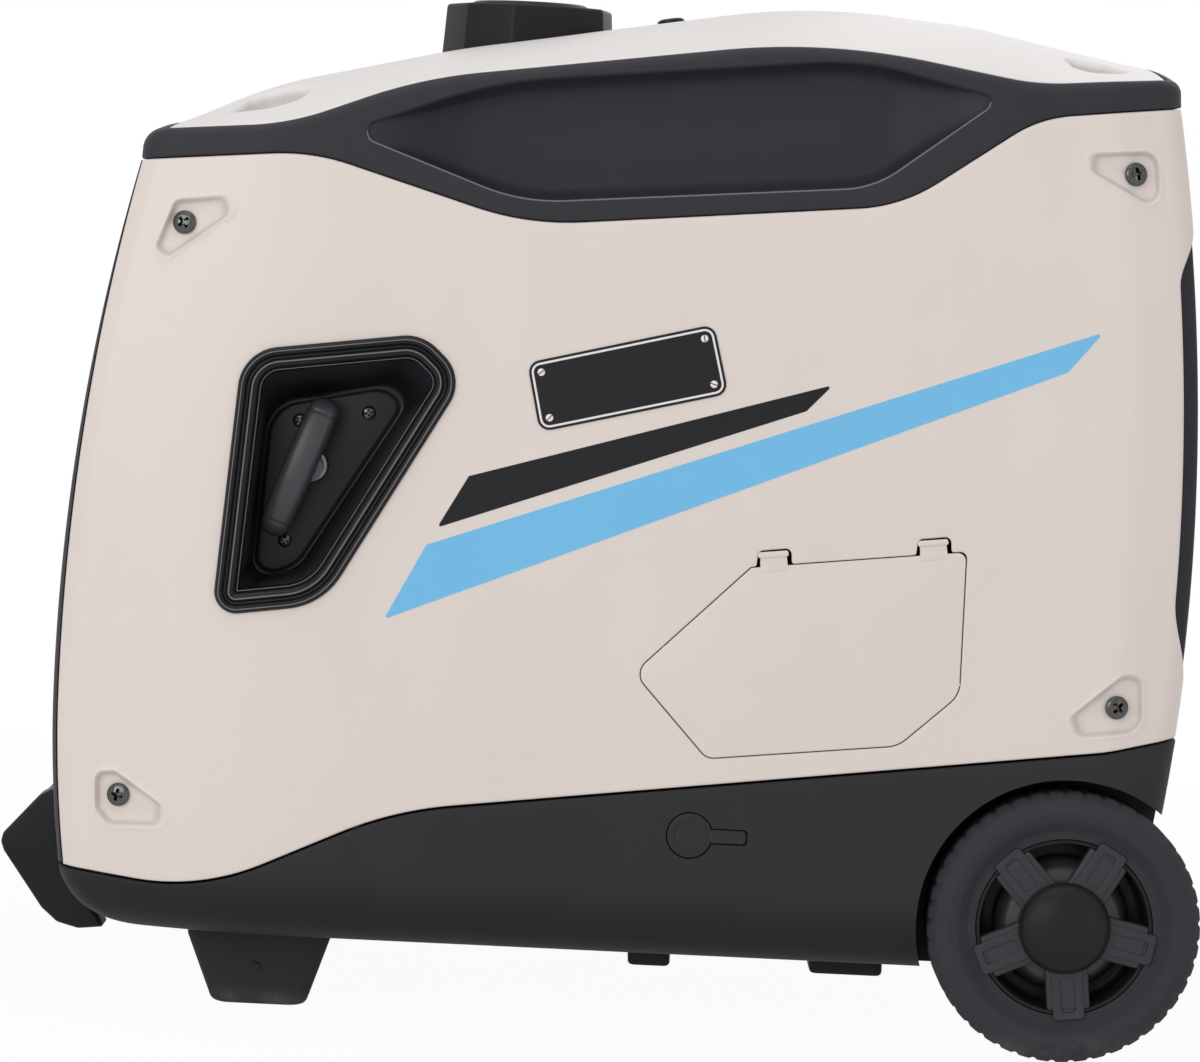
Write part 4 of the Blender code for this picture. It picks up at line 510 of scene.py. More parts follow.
def moulding(edge, openings, dents, inner, place):
    """A thin moulding over a flat area. Each edge, opening and dent is its flat loop on the skin and the rings
    that follow: an opening's run round to the inner skin, and a dent's end in its floor."""
    shape = Shape()
    flat, triangles = triangulated([edge[0], *[o[0] for o in openings], *[d[0] for d in dents]], inner)
    outer = shape.sheet(flat, triangles, lambda p: place(p, 0.0))
    back = shape.sheet(flat, [face[::-1] for face in triangles], lambda p: place(p, WALL))
    start = 0
    for loop, rings in [edge, *openings]:
        span = slice(start, start + len(loop))
        shape.strip([outer[span], *[shape.loop(ring) for ring in rings], back[span]])
        start += len(loop)
    for loop, rings, boss_depth in dents:
        span = slice(start, start + len(loop))
        numbers = [shape.loop(ring) for ring in rings]
        shape.strip([outer[span], *numbers])
        shape.cap(numbers[-1])
        boss = shape.loop(place(loop, boss_depth))
        shape.strip([back[span], boss])
        shape.cap(boss)
        start += len(loop)
    return shape


def dent(corners, radii, middle, profile, place):
    """A dent that narrows to its middle: its loop on the skin, the rings down to its floor, and the depth of
    the boss behind it. The profile gives a scale and a depth for each ring."""
    outline = outline_of(corners, radii, 0.0, 8, 8)
    loops = [np.array(middle) + (outline - np.array(middle)) * scale for scale, _ in profile]
    rings = [place(loop, depth) for loop, (_, depth) in zip(loops[1:], profile[1:])]
    return loops[0], rings, profile[-1][1] + WALL


def hollowed(shape, name, depth_at):
    """The mesh of a moulding whose hollow attribute is each point's depth under the skin in millimetres, which
    the finishes use for painted shade.
    """
    mesh = meshed(shape, name)
    points = np.array([v.co for v in mesh.vertices])
    mesh.attributes.new("hollow", "FLOAT", "POINT").data.foreach_set("value",
                                                                     np.float32(depth_at(points) * 1000))
    return mesh


def opening(loop_at, place, radius):
    """A round-edged opening through a moulding. loop_at gives its outline that far into the material."""
    rings = [place(loop_at(d), depth) for d, depth in roll(radius)[1:]]
    return loop_at(radius), [*rings, place(loop_at(0.0), WALL)]


# ---------------------------------------------------------------- shader values


class Value:
    """A shader socket that takes part in Python expressions."""

    def __init__(self, finish, socket):
        self.finish = finish
        self.socket = socket

    def math(self, operation, *values):
        return self.finish.node("ShaderNodeMath", {"operation": operation}, dict(enumerate(values)))

    def __add__(self, other):
        return self.math("ADD", self, other)

    def __sub__(self, other):
        return self.math("SUBTRACT", self, other)

    def __rsub__(self, other):
        return self.math("SUBTRACT", other, self)

    def __mul__(self, other):
        return self.math("MULTIPLY", self, other)

    def __pow__(self, other):
        return self.math("POWER", self, other)

    __radd__ = __add__
    __rmul__ = __mul__

    def between(self, low, high):
        """A smooth step from 0 at low to 1 at high."""
        sockets = {"Value": self, "From Min": low, "From Max": high}
        return self.finish.node("ShaderNodeMapRange", {"interpolation_type": "SMOOTHSTEP"}, sockets)


class Finish:
    """A material and the nodes that make it."""

    def __init__(self, name):
        self.material = bpy.data.materials.new(name)
        self.material.use_nodes = True
        self.tree = self.material.node_tree
        self.shader = self.tree.nodes["Principled BSDF"]
        self.place = self.node("ShaderNodeTexCoord", output="Object")

    def node(self, kind, settings=None, sockets=None, output=0):
        """Adds a node: its settings first, then its sockets' values or links. Gives one output."""
        made = self.tree.nodes.new(kind)
        for key, value in (settings or {}).items():
            setattr(made, key, value)
        for key, value in (sockets or {}).items():
            if isinstance(value, Value):
                self.tree.links.new(value.socket, made.inputs[key])
            else:
                made.inputs[key].default_value = value
        return Value(self, made.outputs[output])

    def set(self, **sockets):
        """Sets or links the shader's sockets, named with underscores for spaces."""
        for key, value in sockets.items():
            socket = self.shader.inputs[key.replace("_", " ")]
            if isinstance(value, Value):
                self.tree.links.new(value.socket, socket)
            else:
                socket.default_value = value
        return self

    def noise(self, scale, detail=2.0, rough=0.5, stretch=None):
        place = self.place
        if stretch:
            place = self.node("ShaderNodeMapping", None, {"Vector": place, "Scale": stretch})
        return self.node("ShaderNodeTexNoise", None,
                         {"Vector": place, "Scale": scale, "Detail": detail, "Roughness": rough})

    def cells(self, scale):
        return self.node("ShaderNodeTexVoronoi", None, {"Vector": self.place, "Scale": scale})

    def mix(self, amount, first, second):
        """A colour between two others."""
        return self.node("ShaderNodeMix", {"data_type": "RGBA"}, {0: amount, 6: first, 7: second}, 2)

    def axis(self, name):
        return self.node("ShaderNodeSeparateXYZ", None, {0: self.place}, name)

    def bump(self, heights, strength, distance):
        return self.node("ShaderNodeBump", None,
                         {"Height": heights, "Strength": strength, "Distance": distance})


def linear(channel):
    channel /= 255
    return channel / 12.92 if channel <= 0.04045 else ((channel + 0.055) / 1.055) ** 2.4


def tone(colour, factor=1.0):
    """Scene-linear colour of sRGB numbers from 0 to 255, made lighter or darker."""
    return (*[min(linear(c) * factor, 1.0) for c in colour], 1.0)


def moulded(name, colour, roughness, grain=900.0, grain_bump=0.06, mottle=0.05, dust=0.0, dust_top=0.1,
            coat=0.0,
            shine=0.2, painted_shading=None, hollow=None):
    """Moulded plastic: faint flow mottling, fine grain, hairline scuffs and, where set, dust low down,
    painted light or shade along an axis, and painted shade in dents.

    The axis shading takes the axis, where it starts and ends, and a factor; the shade in dents takes the depth
    in millimetres where it is full, whether it lies on the walls only, and a factor."""
    finish = Finish(name)
    broad = finish.noise(7.0, 3.0, 0.55)
    flow = finish.noise(22.0, 2.0, 0.5, (1.0, 1.0, 0.25))
    fine = finish.noise(grain, 2.0, 0.6)
    scuffs = finish.noise(60.0, 6.0, 0.75, (1.0, 1.0, 6.0)).between(0.66, 0.78)
    mottling = broad * 0.6 + flow * 0.4
    body = finish.mix(mottling.between(0.3, 0.7), tone(colour, 1 - mottle), tone(colour, 1 + mottle))
    body = finish.mix(scuffs * 0.10, body, tone(colour, 1.25))
    if dust:
        low = 1 - finish.axis("Z").between(0.0, dust_top)
        settled = low * finish.noise(34.0, 5.0, 0.65).between(0.4, 0.75) * dust
        body = finish.mix(settled, body, tone((150, 142, 130)))
    # Painted light or shade: the colour turns lighter or darker along the axis.
    if painted_shading:
        axis, start, end, factor = painted_shading
        body = finish.mix(finish.axis(axis).between(start, end), body, tone(colour, factor))
    # Painted shade in dents and at rolled edges, growing with the depth under the skin.
    if hollow:
        end, wall_only, factor = hollow
        deep = finish.node("ShaderNodeAttribute", {"attribute_name": "hollow"}, None, "Fac").between(0.4, end)
        body = finish.mix(deep * (1 - deep) * 4 if wall_only else deep, body, tone(colour, factor))
    finish.set(Base_Color=body,
               Roughness=(fine - 0.5) * 0.10 + broad * 0.06 + scuffs * 0.08 + (roughness - 0.03))
    finish.set(Normal=finish.bump(fine, grain_bump, 0.0004), Coat_Weight=coat, Coat_Roughness=0.06,
               Specular_IOR_Level=shine)
    return finish.material


def rubber(name, colour, roughness, dust=0.25, dust_top=0.03):
    """Moulded rubber: dull, finely pitted, with dust where it meets the ground."""
    finish = Finish(name)
    broad = finish.noise(14.0, 4.0, 0.6)
    pits = finish.cells(700.0)
    bloom = finish.noise(45.0, 4.0, 0.7).between(0.35, 0.8)
    body = finish.mix(broad, tone(colour, 0.88), tone(colour, 1.10))
    body = finish.mix(bloom * 0.18, body, tone(colour, 1.5))
    low = 1 - finish.axis("Z").between(0.0, dust_top)
    body = finish.mix(low * bloom * dust, body, tone((140, 132, 122)))
    finish.set(Base_Color=body, Roughness=broad * 0.08 + bloom * 0.06 + (roughness - 0.07))
    finish.set(Normal=finish.bump(pits * 0.5 + broad * 0.5, 0.12, 0.0006), Specular_IOR_Level=0.18)
    return finish.material


def metal(name, colour, roughness, streaks=(1.0, 1.0, 30.0), tarnish=0.12, cast=0.0):
    """Bare metal: drawn or ground streaks, or a cast skin, with a little tarnish."""
    finish = Finish(name)
    drawn = finish.noise(180.0, 3.0, 0.6, streaks)
    stain = finish.noise(26.0, 5.0, 0.65).between(0.45, 0.8)
    skin_grain = finish.noise(420.0, 3.0, 0.6)
    body = finish.mix(drawn, tone(colour, 0.86), tone(colour, 1.10))
    body = finish.mix(stain * tarnish, body, tone((74, 62, 52)))
    finish.set(Base_Color=body, Metallic=1.0, Roughness=drawn * 0.14 + stain * 0.12 + (roughness - 0.1))
    finish.set(Normal=finish.bump(skin_grain * (0.2 + cast) + drawn * 0.2, 0.10 + 0.3 * cast, 0.0005))
    return finish.material


def printed(name, colour, roughness=0.34):
    """Printed film: even colour with a faint screen-print texture."""
    finish = Finish(name)
    broad = finish.noise(16.0, 3.0, 0.5)
    weave = finish.noise(1300.0, 1.0, 0.5)
    body = finish.mix(broad, tone(colour, 0.965), tone(colour, 1.03))
    finish.set(Base_Color=body, Roughness=broad * 0.08 + weave * 0.05 + (roughness - 0.06))
    finish.set(Normal=finish.bump(weave, 0.03, 0.0003), Specular_IOR_Level=0.25)
    return finish.material


def braided(name, colour):
    """Braided cord: two sets of crossing strands round the rope's line."""
    finish = Finish(name)
    strands = {"wave_type": "BANDS", "bands_direction": "DIAGONAL"}
    one = finish.node("ShaderNodeTexWave", strands,
                      {"Vector": finish.place, "Scale": 260.0, "Distortion": 0.6})
    fuzz = finish.noise(1400.0, 3.0, 0.7)
    body = finish.mix(one * 0.7 + fuzz * 0.3, tone(colour, 0.55), tone(colour, 1.15))
    finish.set(Base_Color=body, Roughness=fuzz * 0.1 + 0.78,
               Normal=finish.bump(one + fuzz * 0.4, 0.5, 0.0005))
    return finish.material


def glass(name, colour):
    """Tinted display window: smooth, with faint wipe marks."""
    finish = Finish(name)
    wipes = finish.noise(40.0, 4.0, 0.6, (1.0, 8.0, 1.0)).between(0.5, 0.8)
    body = finish.mix(wipes * 0.3, tone(colour), tone(colour, 1.6))
    finish.set(Base_Color=body, Roughness=wipes * 0.10 + 0.08, Coat_Weight=0.6, Coat_Roughness=0.05)
    return finish.material


# Cream of the side panels, with painted shade on the walls of the screw seats.
cream = moulded("cream_plastic", (219, 208, 202), 0.34, 700.0, 0.035, 0.018, shine=0.4,
                hollow=(4.4, True, 0.84))
# Cream of the cover: a cooler tint of its own, made lighter than the panels' cream as painted top light; its
# dimples and rolled edges get painted shade.
lid_cream_top_lit = moulded("lid_cream_top_lit_plastic", (224, 220, 218), 0.38, 700.0, 0.035, 0.018, shine=0.3,
                    hollow=(5.0, False, 0.68))
charcoal = moulded("charcoal_plastic", (48, 47, 53), 0.50, 1100.0, 0.10, 0.06, shine=0.2)
# Base tray plastic, darker towards the bottom as painted shade under its rolled lower edge.
dark = moulded("dark_plastic", (43, 43, 43), 0.56, 1000.0, 0.12, 0.06, painted_shading=("Z", 0.088, 0.046, 0.45))
hub_dark = moulded("hub_plastic", (32, 32, 31), 0.36, 1000.0, 0.06, 0.06, 0.10, 0.05, shine=0.16)
spoke_grey = moulded("spoke_plastic", (51, 50, 55), 0.40, 1000.0, 0.08, 0.06, 0.10, 0.05, shine=0.3)
# Grey of the hub's drum, lighter than the hub as painted light in the shaded bowl.
drum_painted_light_grey = moulded("drum_painted_light_plastic", (64, 63, 67), 0.40, 1000.0, 0.08, 0.06, 0.10, 0.05, shine=0.4)
black = moulded("black_plastic", (29, 28, 32), 0.38, 1000.0, 0.06, 0.06, shine=0.18)
gloss_black = moulded("gloss_black_plastic", (24, 24, 25), 0.24, 600.0, 0.008, 0.05, coat=0.15, shine=0.15)
# Recess plastic, lighter towards the opening as painted light.
recess_black = moulded("recess_plastic", (24, 24, 28), 0.34, 900.0, 0.03, 0.05, shine=0.35,
                       painted_shading=("Y", -0.160, -0.186, 2.6))
# Light grey of painted highlight lines on the bezel's beads and the handholds' lower lips.
painted_highlight_grey = moulded("painted_highlight_plastic", (106, 105, 110), 0.40, 900.0, 0.03, 0.05, shine=0.4)
grey = moulded("grey_plastic", (64, 63, 68), 0.34, 900.0, 0.06, 0.05, shine=0.45)
red = moulded("red_plastic", (158, 26, 23), 0.34, 900.0, 0.04, 0.05, shine=0.4)
foot_rubber = rubber("black_rubber", (46, 45, 49), 0.72, 0.30, 0.012)
plug_rubber = rubber("plug_rubber", (48, 47, 51), 0.68, 0.0)
tyre_rubber = rubber("tyre_rubber", (53, 52, 57), 0.78, 0.35, 0.02)
steel = metal("plated_steel", (158, 158, 160), 0.30)
dark_steel = metal("black_screw_steel", (98, 99, 97), 0.20, (1.0, 1.0, 1.0))
alloy = metal("cast_alloy", (172, 172, 172), 0.46, (1.0, 1.0, 1.0), 0.16, 0.6)
copper = metal("enamelled_copper", (158, 92, 54), 0.36, (30.0, 1.0, 1.0), 0.10)
white_ink = printed("white_print", (226, 222, 219))
dark_ink = printed("dark_print", (27, 26, 31))
blue_ink = printed("blue_print", (114, 186, 229))
screen = glass("display_glass", (26, 34, 36))
rope_fibre = braided("rope_fibre", (140, 137, 128))

# ---------------------------------------------------------------- side panels

PANEL_ROLL = 0.0013
panel_shares = gathered_ends(170)
panel_heights = gathered_ends(100, 0.35)


def scallop(z):
    start, full, full_end, end = SCALLOP_Z
    return SCALLOP_IN * smooth((z - start) / (full - start)) * smooth((end - z) / (end - full_end))


def panel_place(s, t, margin=0.0):
    """Flat places (x, z) on a side panel for shares of its length and height, a margin from its edge."""
    s, t = np.asarray(s, float), np.asarray(t, float)
    z = np.full(np.broadcast(s, t).shape, 0.26)
    for _ in range(14):
        front = panel_front(z) + margin
        rear = rear_x(z) - EDGE_REAR - scallop(z) - margin
        x = front + (rear - front) * s
        low = height(BASE_LINE, x) + SEAM + margin
        high = height(LOW_LINE, x) - SEAM - margin
        z = low + (high - low) * t
    return np.stack([x, z], -1)


def panel_edge(margin):
    along, up = panel_shares[:-1], panel_heights[:-1]
    sides = [panel_place(along, 0 * along, margin), panel_place(0 * up + 1, up, margin),
             panel_place(1 - along, 0 * along + 1, margin), panel_place(0 * up, 1 - up, margin)]
    return np.concatenate(sides)


# Screw seat from its raised rim to its floor: scale of the outline and depth
SEAT_PROFILE = ((1.10, 0.0), (1.07, -0.00016), (1.035, -0.00028), (1.005, -0.00014), (0.975, 0.0004),
                (0.94, 0.0012),
                (0.89, 0.0023), (0.83, 0.0034), (0.77, 0.0041), (0.71, 0.0044), (0.64, 0.0045),
                (0.50, 0.0045))


def door_corners(tabs):
    """Corners and radii of the service opening; with tabs, its upper edge has notches for the clips."""
    corners = [DOOR[0]]
    radii = [DOOR_RADII[0]]
    if tabs:
        slope = (DOOR[1][1] - DOOR[0][1]) / (DOOR[1][0] - DOOR[0][0])
        for x in DOOR_TABS:
            start, end = x - TAB_WIDTH / 2, x + TAB_WIDTH / 2
            edge = [DOOR[0][1] + slope * (px - DOOR[0][0]) for px in (start, end)]
            corners += [(start, edge[0]), (start + 0.0006, edge[0] + TAB_RISE),
                        (end - 0.0006, edge[1] + TAB_RISE),
                        (end, edge[1])]
            radii += [0.0008, 0.0025, 0.0025, 0.0008]
    return [*corners, *DOOR[1:]], [*radii, *DOOR_RADII[1:]]


def side_panel(side, openings):
    edge_rings = [skin(panel_edge(d), side, depth) for d, depth in roll(PANEL_ROLL)[1:]]
    edge = (panel_edge(PANEL_ROLL), [*edge_rings, skin(panel_edge(0.0), side, WALL)])
    dents = [dent(*seat, SEAT_PROFILE, lambda flat, depth: skin(flat, side, depth))
             for seat in SEATS.values()]
    inner = panel_place(*np.meshgrid(panel_shares[1:-1], panel_heights[1:-1]), PANEL_ROLL).reshape(-1, 2)
    return moulding(edge, openings, dents, inner, lambda flat, depth: skin(flat, side, depth))


def near_openings():
    def place(flat, depth):
        return skin(flat, -1, depth)

    def recess(margin):
        return outline_of(RECESS, RECESS_RADII, 0.0018 - margin, 10, 14)

    def door(margin):
        corners, radii = door_corners(True)
        return outline_of(corners, radii, -DOOR_GAP - margin, 6, 8)

    return [opening(recess, place, 0.001), opening(door, place, 0.0008)]


def far_openings():
    slots = []
    for k in range(INTAKE_SLOTS):
        x = INTAKE_X + INTAKE_PITCH * k
        low, high = INTAKE_Z
        corners = [(x, low), (x + 0.008, low), (x + 0.026, high), (x + 0.018, high)]

        def slot(margin, corners=corners):
            return outline_of(corners, [0.0038] * 4, -margin, 6, 14)

        slots.append(opening(slot, lambda flat, depth: skin(flat, 1, depth), 0.0012))
    return slots


def panel_depth(points):
    return half_width(points[:, 0], points[:, 2]) - np.abs(points[:, 1])


for panel_side, panel_label, panel_openings in ((-1, "near", near_openings()), (1, "far", far_openings())):
    panel_mesh = hollowed(side_panel(panel_side, panel_openings), f"{panel_label}_panel_skin", panel_depth)
    panel_node = "starter_side_panel" if panel_side < 0 else "far_side_panel"
    piece(f"{panel_label}_panel_skin", panel_mesh, cream, nodes=[panel_node])


def service_door():
    """The door with a rounded edge, and the two spring clips on its upper edge."""
    door = Shape()

    def loop_at(margin):
        return outline_of(*door_corners(False), margin, 8, 10)

    def flat_face(loop, y):
        return np.stack([loop[:, 0], np.full(len(loop), y), loop[:, 1]], 1)

    rolled = roll(0.0009)
    rings = [flat_face(loop_at(d), -HALF_WIDTH + depth) for d, depth in rolled]
    door.loft([*rings, flat_face(loop_at(0.0), -HALF_WIDTH + WALL)])
    slope = (DOOR[1][1] - DOOR[0][1]) / (DOOR[1][0] - DOOR[0][0])
    for x in DOOR_TABS:
        edge = DOOR[0][1] + slope * (x - DOOR[0][0])
        tilt = Matrix.Rotation(-math.atan(slope), 4, "Y")
        for half, low, high, lift, thick in ((0.0072, -0.003, 0.0052, 0.0002, 0.0022),
                                             (0.0080, 0.0046, 0.0076, 0.0009, 0.0030)):
            corners = [(-half, low), (half, low), (half - 0.0004, high), (0.0004 - half, high)]
            loops = []
            for d, depth in (*roll(0.0007, 3), (0.0, thick)):
                flat = outline_of(corners, [0.0011] * 4, d, 4)
                loops.append([tilt @ Vector((u, depth, v)) + Vector((x, -HALF_WIDTH - lift, edge)) for u,
                              v in flat])
            door.loft(loops)
    return door


piece("service_door_skin", service_door(), cream, "service_door", ["service_door"])

# ---------------------------------------------------------------- stripes and bare plate


def film(name, corners, radii, finish, lift, side=-1, spacing=0.005):
    """A thin printed film on the side skin."""
    edge = outline_of(corners, radii, 0.0, 4, 40)
    low, high = edge.min(0), edge.max(0)
    grid = np.stack(np.meshgrid(np.arange(low[0], high[0], spacing), np.arange(low[1], high[1], spacing)), -1)
    shape = Shape()
    flat, triangles = triangulated([edge], grid.reshape(-1, 2))
    outer = shape.sheet(flat, triangles, lambda p: skin(p, side, -lift))
    back = shape.sheet(flat, [face[::-1] for face in triangles], lambda p: skin(p, side, 0.0006))
    shape.strip([outer[:len(edge)], back[:len(edge)]])
    piece(name, shape, finish)


film("dark_stripe", DARK_STRIPE, [0.0002] * 4, dark_ink, 0.00012)
film("blue_stripe", BLUE_STRIPE, [0.0002] * 4, blue_ink, 0.00012)
film("plate_border", PLATE, [PLATE_RADIUS] * 4, dark_ink, 0.0005)
film("plate_line", inset(list(PLATE), 0.0013), [PLATE_RADIUS - 0.0013] * 4, white_ink, 0.00056)
film("plate_field", inset(list(PLATE), 0.0024), [PLATE_RADIUS - 0.0024] * 4, dark_ink, 0.00062)

# ---------------------------------------------------------------- screws


def screw_head(radius, tall, cross):
    """A pan head with a cross recess, or with a single slot, standing on its own Z."""
    head = Shape()
    dome = [(radius * math.cos(a), tall * (0.35 + 0.65 * math.sin(a)))
            for a in np.linspace(0, math.pi / 2, 10)[:-1]]
    head.lathe([(0, -0.003), (radius * 0.45, -0.003), (radius * 0.45, 0), (radius, 0), *dome, (0, tall)],
               Matrix(), 48)
    cuts = Shape()
    for turn in (0, math.pi / 2) if cross else (0.0,):
        across = Matrix.Rotation(turn, 4, "Z")
        length, width = (radius * 0.64, radius * 0.17) if cross else (radius * 1.2, radius * 0.13)
        loops = []
        for z, share in ((tall * 0.15, 0.40 if cross else 1.0), (tall * 1.3, 1.1)):
            u, v = length * share, width * share
            loops.append([across @ Vector((x, y, z)) for x, y in ((-u, -v), (u, -v), (u, v), (-u, v))])
        cuts.loft(loops)
    if not cross:
        return carved("screw_head", head, ("DIFFERENCE", cuts))
    half = len(cuts.points) // 2
    one, two = Shape(), Shape()
    one.points, two.points = cuts.points[:half], cuts.points[half:]
    one.faces = [f for f in cuts.faces if max(f) < half]
    two.faces = [tuple(i - half for i in f) for f in cuts.faces if min(f) >= half]
    return carved("screw_head", head, ("DIFFERENCE", one), ("DIFFERENCE", two))


def setting_tree():
    """Geometry nodes that set one part on every point, turned by the point's own attribute."""
    tree = bpy.data.node_groups.new("set_on_points", "GeometryNodeTree")
    for name, kind in (("Geometry", "Geometry"), ("Part", "Object"), ("Size", "Float"),
                       ("Finish", "Material")):
        tree.interface.new_socket(name, in_out="INPUT", socket_type=f"NodeSocket{kind}")
    tree.interface.new_socket("Geometry", in_out="OUTPUT", socket_type="NodeSocketGeometry")

    def add(kind, **settings):
        made = tree.nodes.new(kind)
        for key, value in settings.items():
            setattr(made, key, value)
        return made

    given, result = add("NodeGroupInput"), add("NodeGroupOutput")
    turn = add("GeometryNodeInputNamedAttribute", data_type="FLOAT_VECTOR")
    turn.inputs["Name"].default_value = "turn"
    angles = add("FunctionNodeEulerToRotation")
    part = add("GeometryNodeObjectInfo")
    setter = add("GeometryNodeInstanceOnPoints")
    realised = add("GeometryNodeRealizeInstances")
    painted = add("GeometryNodeSetMaterial")
    link = tree.links.new
    link(given.outputs["Geometry"], setter.inputs["Points"])
    link(given.outputs["Part"], part.inputs["Object"])
    link(part.outputs["Geometry"], setter.inputs["Instance"])
    link(turn.outputs["Attribute"], angles.inputs["Euler"])
    link(angles.outputs["Rotation"], setter.inputs["Rotation"])
    link(given.outputs["Size"], setter.inputs["Scale"])
    link(setter.outputs["Instances"], realised.inputs["Geometry"])
    link(realised.outputs["Geometry"], painted.inputs["Geometry"])
    link(given.outputs["Finish"], painted.inputs["Material"])
    link(painted.outputs["Geometry"], result.inputs["Geometry"])
    return tree


SETTING = setting_tree()


def set_on(places, part_mesh, finish, size=1.0):
    """The mesh of one part set at every matrix in places."""
    base = bpy.data.meshes.new("places")
    base.from_pydata([tuple(m.translation) for m in places], [], [])
    turn = base.attributes.new("turn", "FLOAT_VECTOR", "POINT")
    for i, m in enumerate(places):
        turn.data[i].vector = m.to_euler()
    carrier = bpy.data.objects.new("carrier", base)
    part = bpy.data.objects.new("part", part_mesh)
    for obj in (carrier, part):
        bpy.context.scene.collection.objects.link(obj)
    modifier = carrier.modifiers.new("set", "NODES")
    modifier.node_group = SETTING
    values = {"Part": part, "Size": size, "Finish": finish}
    for item in SETTING.interface.items_tree:
        if item.in_out == "INPUT" and item.name in values:
            modifier[item.identifier] = values[item.name]
    graph = bpy.context.evaluated_depsgraph_get()
    mesh = bpy.data.meshes.new_from_object(carrier.evaluated_get(graph))
    bpy.data.objects.remove(carrier)
    bpy.data.objects.remove(part)
    return mesh


def spun(place, index):
    """The place turned about its own Z, so that neighbouring screws don't line up."""
    return place @ Matrix.Rotation(0.7 + 1.1 * index, 4, "Z")


def panel_screws():
    places = []
    nodes = []
    for side, label in ((-1, "near"), (1, "far")):
        for name, (_, _, (x, z)) in SEATS.items():
            y = side * (float(half_width(x, z)) - SEAT_DEPTH + 0.0002)
            places.append(spun(aim((x, y, z), skin_axis(x, z, side)), len(places)))
            nodes.append(f"panel_screw_{label}_{name}")
    mesh = set_on(places, screw_head(SCREW_RADIUS, 0.0031, True), dark_steel)
    piece("panel_screws", mesh, dark_steel, nodes=nodes)


def plate_screws():
    places = []
    for index, (x, z) in enumerate(inset(list(PLATE), 0.0062)):
        axis = skin_axis(x, z, -1)
        y = -float(half_width(x, z))
        places.append(spun(aim(Vector((x, y, z)) + axis * 0.0005, axis), index))
    piece("plate_screws", set_on(places, screw_head(0.0019, 0.0006, False), white_ink), white_ink)


panel_screws()
plate_screws()

# ---------------------------------------------------------------- starter recess

# Section of the bezel's two beads, as distance in from the outline and lift over the skin
BEZEL_SECTION = ((-0.0002, -0.0030), (-0.0002, 0.0008), (0.0010, 0.0025), (0.0022, 0.0029), (0.0036, 0.0021),
                 (0.0047, 0.0006), (0.0057, 0.0006), (0.0066, 0.0022), (0.0080, 0.0024), (0.0098, 0.0010),
                 (0.0116, -0.0022), (0.0124, -0.0060), (0.0104, -0.0060), (0.0026, -0.0036))
BEZEL_RADII = (0.0004, 0.0014, 0.0020, 0.0020, 0.0020, 0.0009, 0.0009, 0.0014, 0.0020, 0.0040, 0.0040, 0.0004,
               0.0010,
               0.0010)
# Raised plate on the recess floor, corners (x, z)
RECESS_PLATE = ((-0.1770, 0.3150), (-0.1200, 0.3275), (-0.1095, 0.3200), (-0.1620, 0.2330), (-0.1825, 0.2285))
RECESS_PLATE_RADII = (0.012, 0.010, 0.010, 0.014, 0.006)
RECESS_PLATE_EDGE = ((-0.0018, 0.0), (-0.0011, 0.00005), (-0.0004, 0.0003), (0.0002, 0.0006),
                     (0.0008, 0.0008),
                     (0.0014, 0.00085))
RECESS_SCREWS = ((-0.1624, 0.3094), (-0.1267, 0.3149), (-0.1675, 0.2466))


def recess_loop(distance):
    return outline_of(RECESS, RECESS_RADII, distance, 12, 14)


def recess_floor(margin, lift):
    """Loop round the plate on the floor, a margin in from its outline and lifted towards the opening."""
    flat = outline_of(RECESS_PLATE, [r + 0.006 for r in RECESS_PLATE_RADII], margin, 12, 14)
    return np.stack([flat[:, 0], np.full(len(flat), RECESS_FLOOR_Y - lift), flat[:, 1]], 1)


def recoil_bezel():
    """Surround of the starter recess: two rounded beads with a groove between them."""
    section = rounded(BEZEL_SECTION, BEZEL_RADII, 6)
    return Shape().loft([skin(recess_loop(distance), -1, -lift) for distance, lift in section], ring=True)


def recess_well():
    """Well of the starter recess: its wall runs softly into the floor, which has a low raised plate."""
    shape = Shape()
    top, floor = skin(recess_loop(0.0114), -1, 0.0030), recess_floor(*RECESS_PLATE_EDGE[0])
    rings = []
    for share in np.linspace(0, 1, 18)[:-1]:
        ring = top + (floor - top) * share
        ring[:, 1] = top[:, 1] + (floor[:, 1] - top[:, 1]) * (1 - (1 - share) ** 1.7)
        rings.append(ring)
    rings += [recess_floor(*edge) for edge in RECESS_PLATE_EDGE]
    front = [shape.loop(ring) for ring in rings]
    shape.strip(front)
    shape.cap(front[-1])
    back = [shape.loop(skin(recess_loop(0.0094), -1, 0.0034)), shape.loop(recess_floor(-0.0085, -WALL))]
    shape.strip([front[0], *back])
    shape.cap(back[-1])
    return shape


def rope_ferrule():
    place = aim((ROPE_X, RECESS_FLOOR_Y - 0.001, ROPE_Z), (0, -1, 0))
    profile = [(0.0031, -0.003), (0.0088, -0.003), (0.0088, 0.0012), (0.0082, 0.0020), (0.0072, 0.0024),
               (0.0050, 0.0022), (0.0034, 0.0014)]
    return Shape().lathe(profile, place, 64)


def bezel_edges():
    """Painted highlight lines on the crests of the bezel's beads: distance in, lift and half width."""
    shape = Shape()
    for distance, lift, half in ((0.0019, 0.0026, 0.00032), (0.0073, 0.0021, 0.00042),
                                 (0.0112, -0.0014, 0.00026)):
        turns = np.linspace(0, math.tau, 8, endpoint=False)
        loops = [skin(recess_loop(distance + half * math.cos(a)), -1, -lift - half * math.sin(a))
                 for a in turns]
        shape.loft(loops, ring=True)
    return shape


